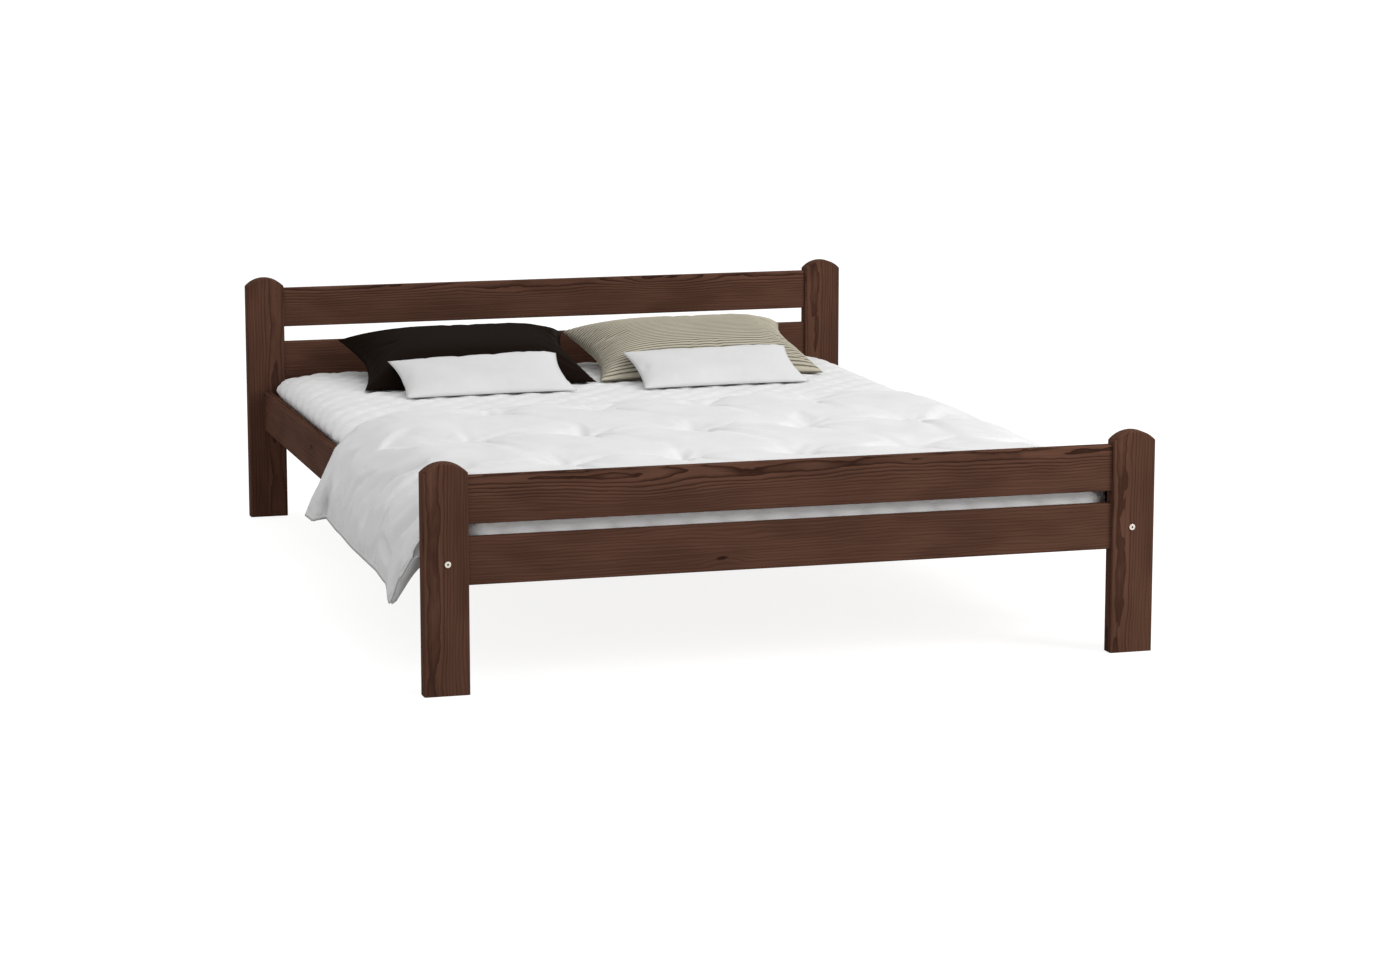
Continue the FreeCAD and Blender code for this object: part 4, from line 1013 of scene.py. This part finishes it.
def lean(points, upper_index, lower_index, behind, gap):
    """Move a pillow off the one that it leans on. Its upper sheet goes with the lower one under it."""
    corners = [vertex.co for vertex in behind.data.vertices]
    backing = BVHTree.FromPolygons(corners, [face.vertices for face in behind.data.polygons])
    inner = (slice(1, -1), slice(1, -1))
    for smoothing in LEAN_SMOOTHING:
        push = np.zeros(lower_index.shape + (3,))
        for place, number in np.ndenumerate(lower_index):
            point = Vector(points[number])
            spot, facing, _, _ = backing.find_nearest(point)
            push[place] = np.array(facing) * max(0.0, gap - (point - spot).dot(facing))
        for _ in range(smoothing):
            around = np.pad(push, ((1, 1), (1, 1), (0, 0)), mode="edge")
            push = (2 * push + around[:-2, 1:-1] + around[2:, 1:-1]
                    + around[1:-1, :-2] + around[1:-1, 2:]) / 6
        points[lower_index] += push
        points[upper_index[inner]] += push[inner]
    return points


def laid_pillow(name, sheets, x, front, turn, depth, tilt, behind=None, gap=0.0):
    """Lay a pillow with its front hem at a place, its back raised, and let it rest on what is under it."""
    piece, upper_index, lower_index = sewn_pillow(name, *sheets)
    lift = Matrix.Rotation(math.radians(turn), 3, "Z") @ Matrix.Rotation(math.radians(tilt), 3, "X")
    middle = Vector((x, front, mattress_high.z + PILLOW_RISE)) + lift @ Vector((0, depth / 2, 0))
    points = points_of(piece.data) @ np.array(lift).T + np.array(middle)
    if behind is not None:
        points = lean(points, upper_index, lower_index, behind, gap)
    points[:, 2] = np.maximum(points[:, 2], mattress_top(points[:, 0], points[:, 1]) + REST_GAP)
    set_points(piece.data, points)
    return piece


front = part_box("dark_pillow")[0].y - LARGE_FORWARD
large_sheets = filled_sheets("large", LARGE, LARGE_FILL)
small_sheets = filled_sheets("small", SMALL, SMALL_FILL)
corded_sheets = corded(*large_sheets)
small_fronts = [front - reach for reach in SMALL_REACH]
dark = laid_pillow("dark_cushion", large_sheets, LARGE_X[0], front, LARGE_TURN[0], **LARGE_LAY)
plain = laid_pillow("corded_draft", large_sheets, LARGE_X[1], front, LARGE_TURN[1], **LARGE_LAY)
striped = laid_pillow("corded_cushion", corded_sheets, LARGE_X[1], front, LARGE_TURN[1], **LARGE_LAY)
left = laid_pillow("left_cushion", small_sheets, SMALL_X[0], small_fronts[0], SMALL_TURN[0], **SMALL_LAY,
                   behind=dark, gap=LEAN_GAP)
right = laid_pillow("right_cushion", small_sheets, SMALL_X[1], small_fronts[1], SMALL_TURN[1], **SMALL_LAY,
                    behind=plain, gap=LEAN_GAP + CORD_HEIGHT)
bpy.data.objects.remove(plain)
white_satin = cloth("white_satin", WHITE_SATIN, roughness=0.5, weave=0.0006, relief=0.12, shine=0.08)
dark_satin = cloth("dark_satin", DARK_SATIN, roughness=0.5, weave=0.0006, relief=0.15, shine=0.006)
# The corded cloth gets painted shade in the grooves between its cords
corded_olive = cloth("corded_olive", OLIVE, roughness=0.75, weave=0.0012, relief=0.3, shine=0.03,
                     groove_shade_pitch=CORD_PITCH)
finish_piece(dark, "dark_pillow", "dark_satin", dark_satin, "dark_pillow")
finish_piece(striped, "striped_pillow", "corded_cloth", corded_olive, "striped_pillow")
finish_piece(left, "white_pillow_left", "white_satin", white_satin, "white_pillow_left")
finish_piece(right, "white_pillow_right", "white_satin", white_satin, "white_pillow_right")


# Stage: a pale floor that looks white and takes a faint shadow, a white sky, two soft lamps above and in
# front, and the camera. None of it belongs to the bed.
WHITE = (1, 1, 1, 1)
FLOOR_HALF = 45.0
FLOOR_BELOW = 0.0004
FLOOR_GREY = (0.5, 0.5, 0.5, 1)
FLOOR_SHADOW = (0.30, 0.30, 0.30, 1)
FLOOR_GLOW = 0.86
SKY_LIGHT = 0.75


def white_where_seen(tree, plain, seen):
    """Plain for the light that it gives; seen for what the camera, reflections and glass look at."""
    path = node(tree, "ShaderNodeLightPath").outputs
    looked = math_node(tree, "MAXIMUM", path["Is Camera Ray"], path["Is Glossy Ray"])
    looked = math_node(tree, "MAXIMUM", looked, path["Is Transmission Ray"])
    return node(tree, "ShaderNodeMixShader", {0: looked, 1: plain, 2: seen}).outputs[0]


corners = FLOOR_HALF * np.array([(-1, -1, 0), (1, -1, 0), (1, 1, 0), (-1, 1, 0)]) - (0, 0, FLOOR_BELOW)
ground = new_piece("ground", corners, np.array([(0, 1, 2, 3)]))
pale, pale_tree, pale_surface = new_material("pale_floor")
matt = node(pale_tree, "ShaderNodeBsdfDiffuse", {"Color": FLOOR_GREY}).outputs[0]
shadow = node(pale_tree, "ShaderNodeBsdfDiffuse", {"Color": FLOOR_SHADOW}).outputs[0]
glow = node(pale_tree, "ShaderNodeEmission", {"Color": WHITE, "Strength": FLOOR_GLOW}).outputs[0]
seen_floor = node(pale_tree, "ShaderNodeAddShader", {0: shadow, 1: glow}).outputs[0]
pale_tree.links.new(white_where_seen(pale_tree, matt, seen_floor),
                    pale_tree.nodes["Material Output"].inputs["Surface"])
pale_tree.nodes.remove(pale_surface)
ground.data.materials.append(pale)

world = bpy.data.worlds.new("studio")
scene.world = world
world.use_nodes = True
sky_tree = world.node_tree
fill = node(sky_tree, "ShaderNodeBackground", {"Color": WHITE, "Strength": SKY_LIGHT}).outputs[0]
white = node(sky_tree, "ShaderNodeBackground", {"Color": WHITE, "Strength": 1.0}).outputs[0]
sky_tree.links.new(white_where_seen(sky_tree, fill, white), sky_tree.nodes["World Output"].inputs["Surface"])


def softbox(name, place, target, size, power):
    lamp = bpy.data.lights.new(name, "AREA")
    lamp.shape = "SQUARE"
    lamp.size = size
    lamp.energy = power
    lit = placed(name, lamp)
    lit.location = place
    lit.rotation_euler = (Vector(target) - Vector(place)).to_track_quat("-Z", "Y").to_euler()


softbox("overhead", place=(1.2, -0.2, 4.6), target=(0.3, 0, 0.3), size=3.0, power=21)
softbox("front_right", place=(3.7, -3.7, 2.7), target=(0.2, -0.3, 0.3), size=2.0, power=146)

camera = placed("camera", bpy.data.cameras.new("camera"))
camera.data.sensor_width = 36.0
camera.data.lens = 94.3
camera.location = (-2.208, -7.882, 1.629)
camera.rotation_euler = (math.radians(80.25), 0, math.radians(-16.31))
scene.camera = camera
scene.view_settings.view_transform = "Standard"
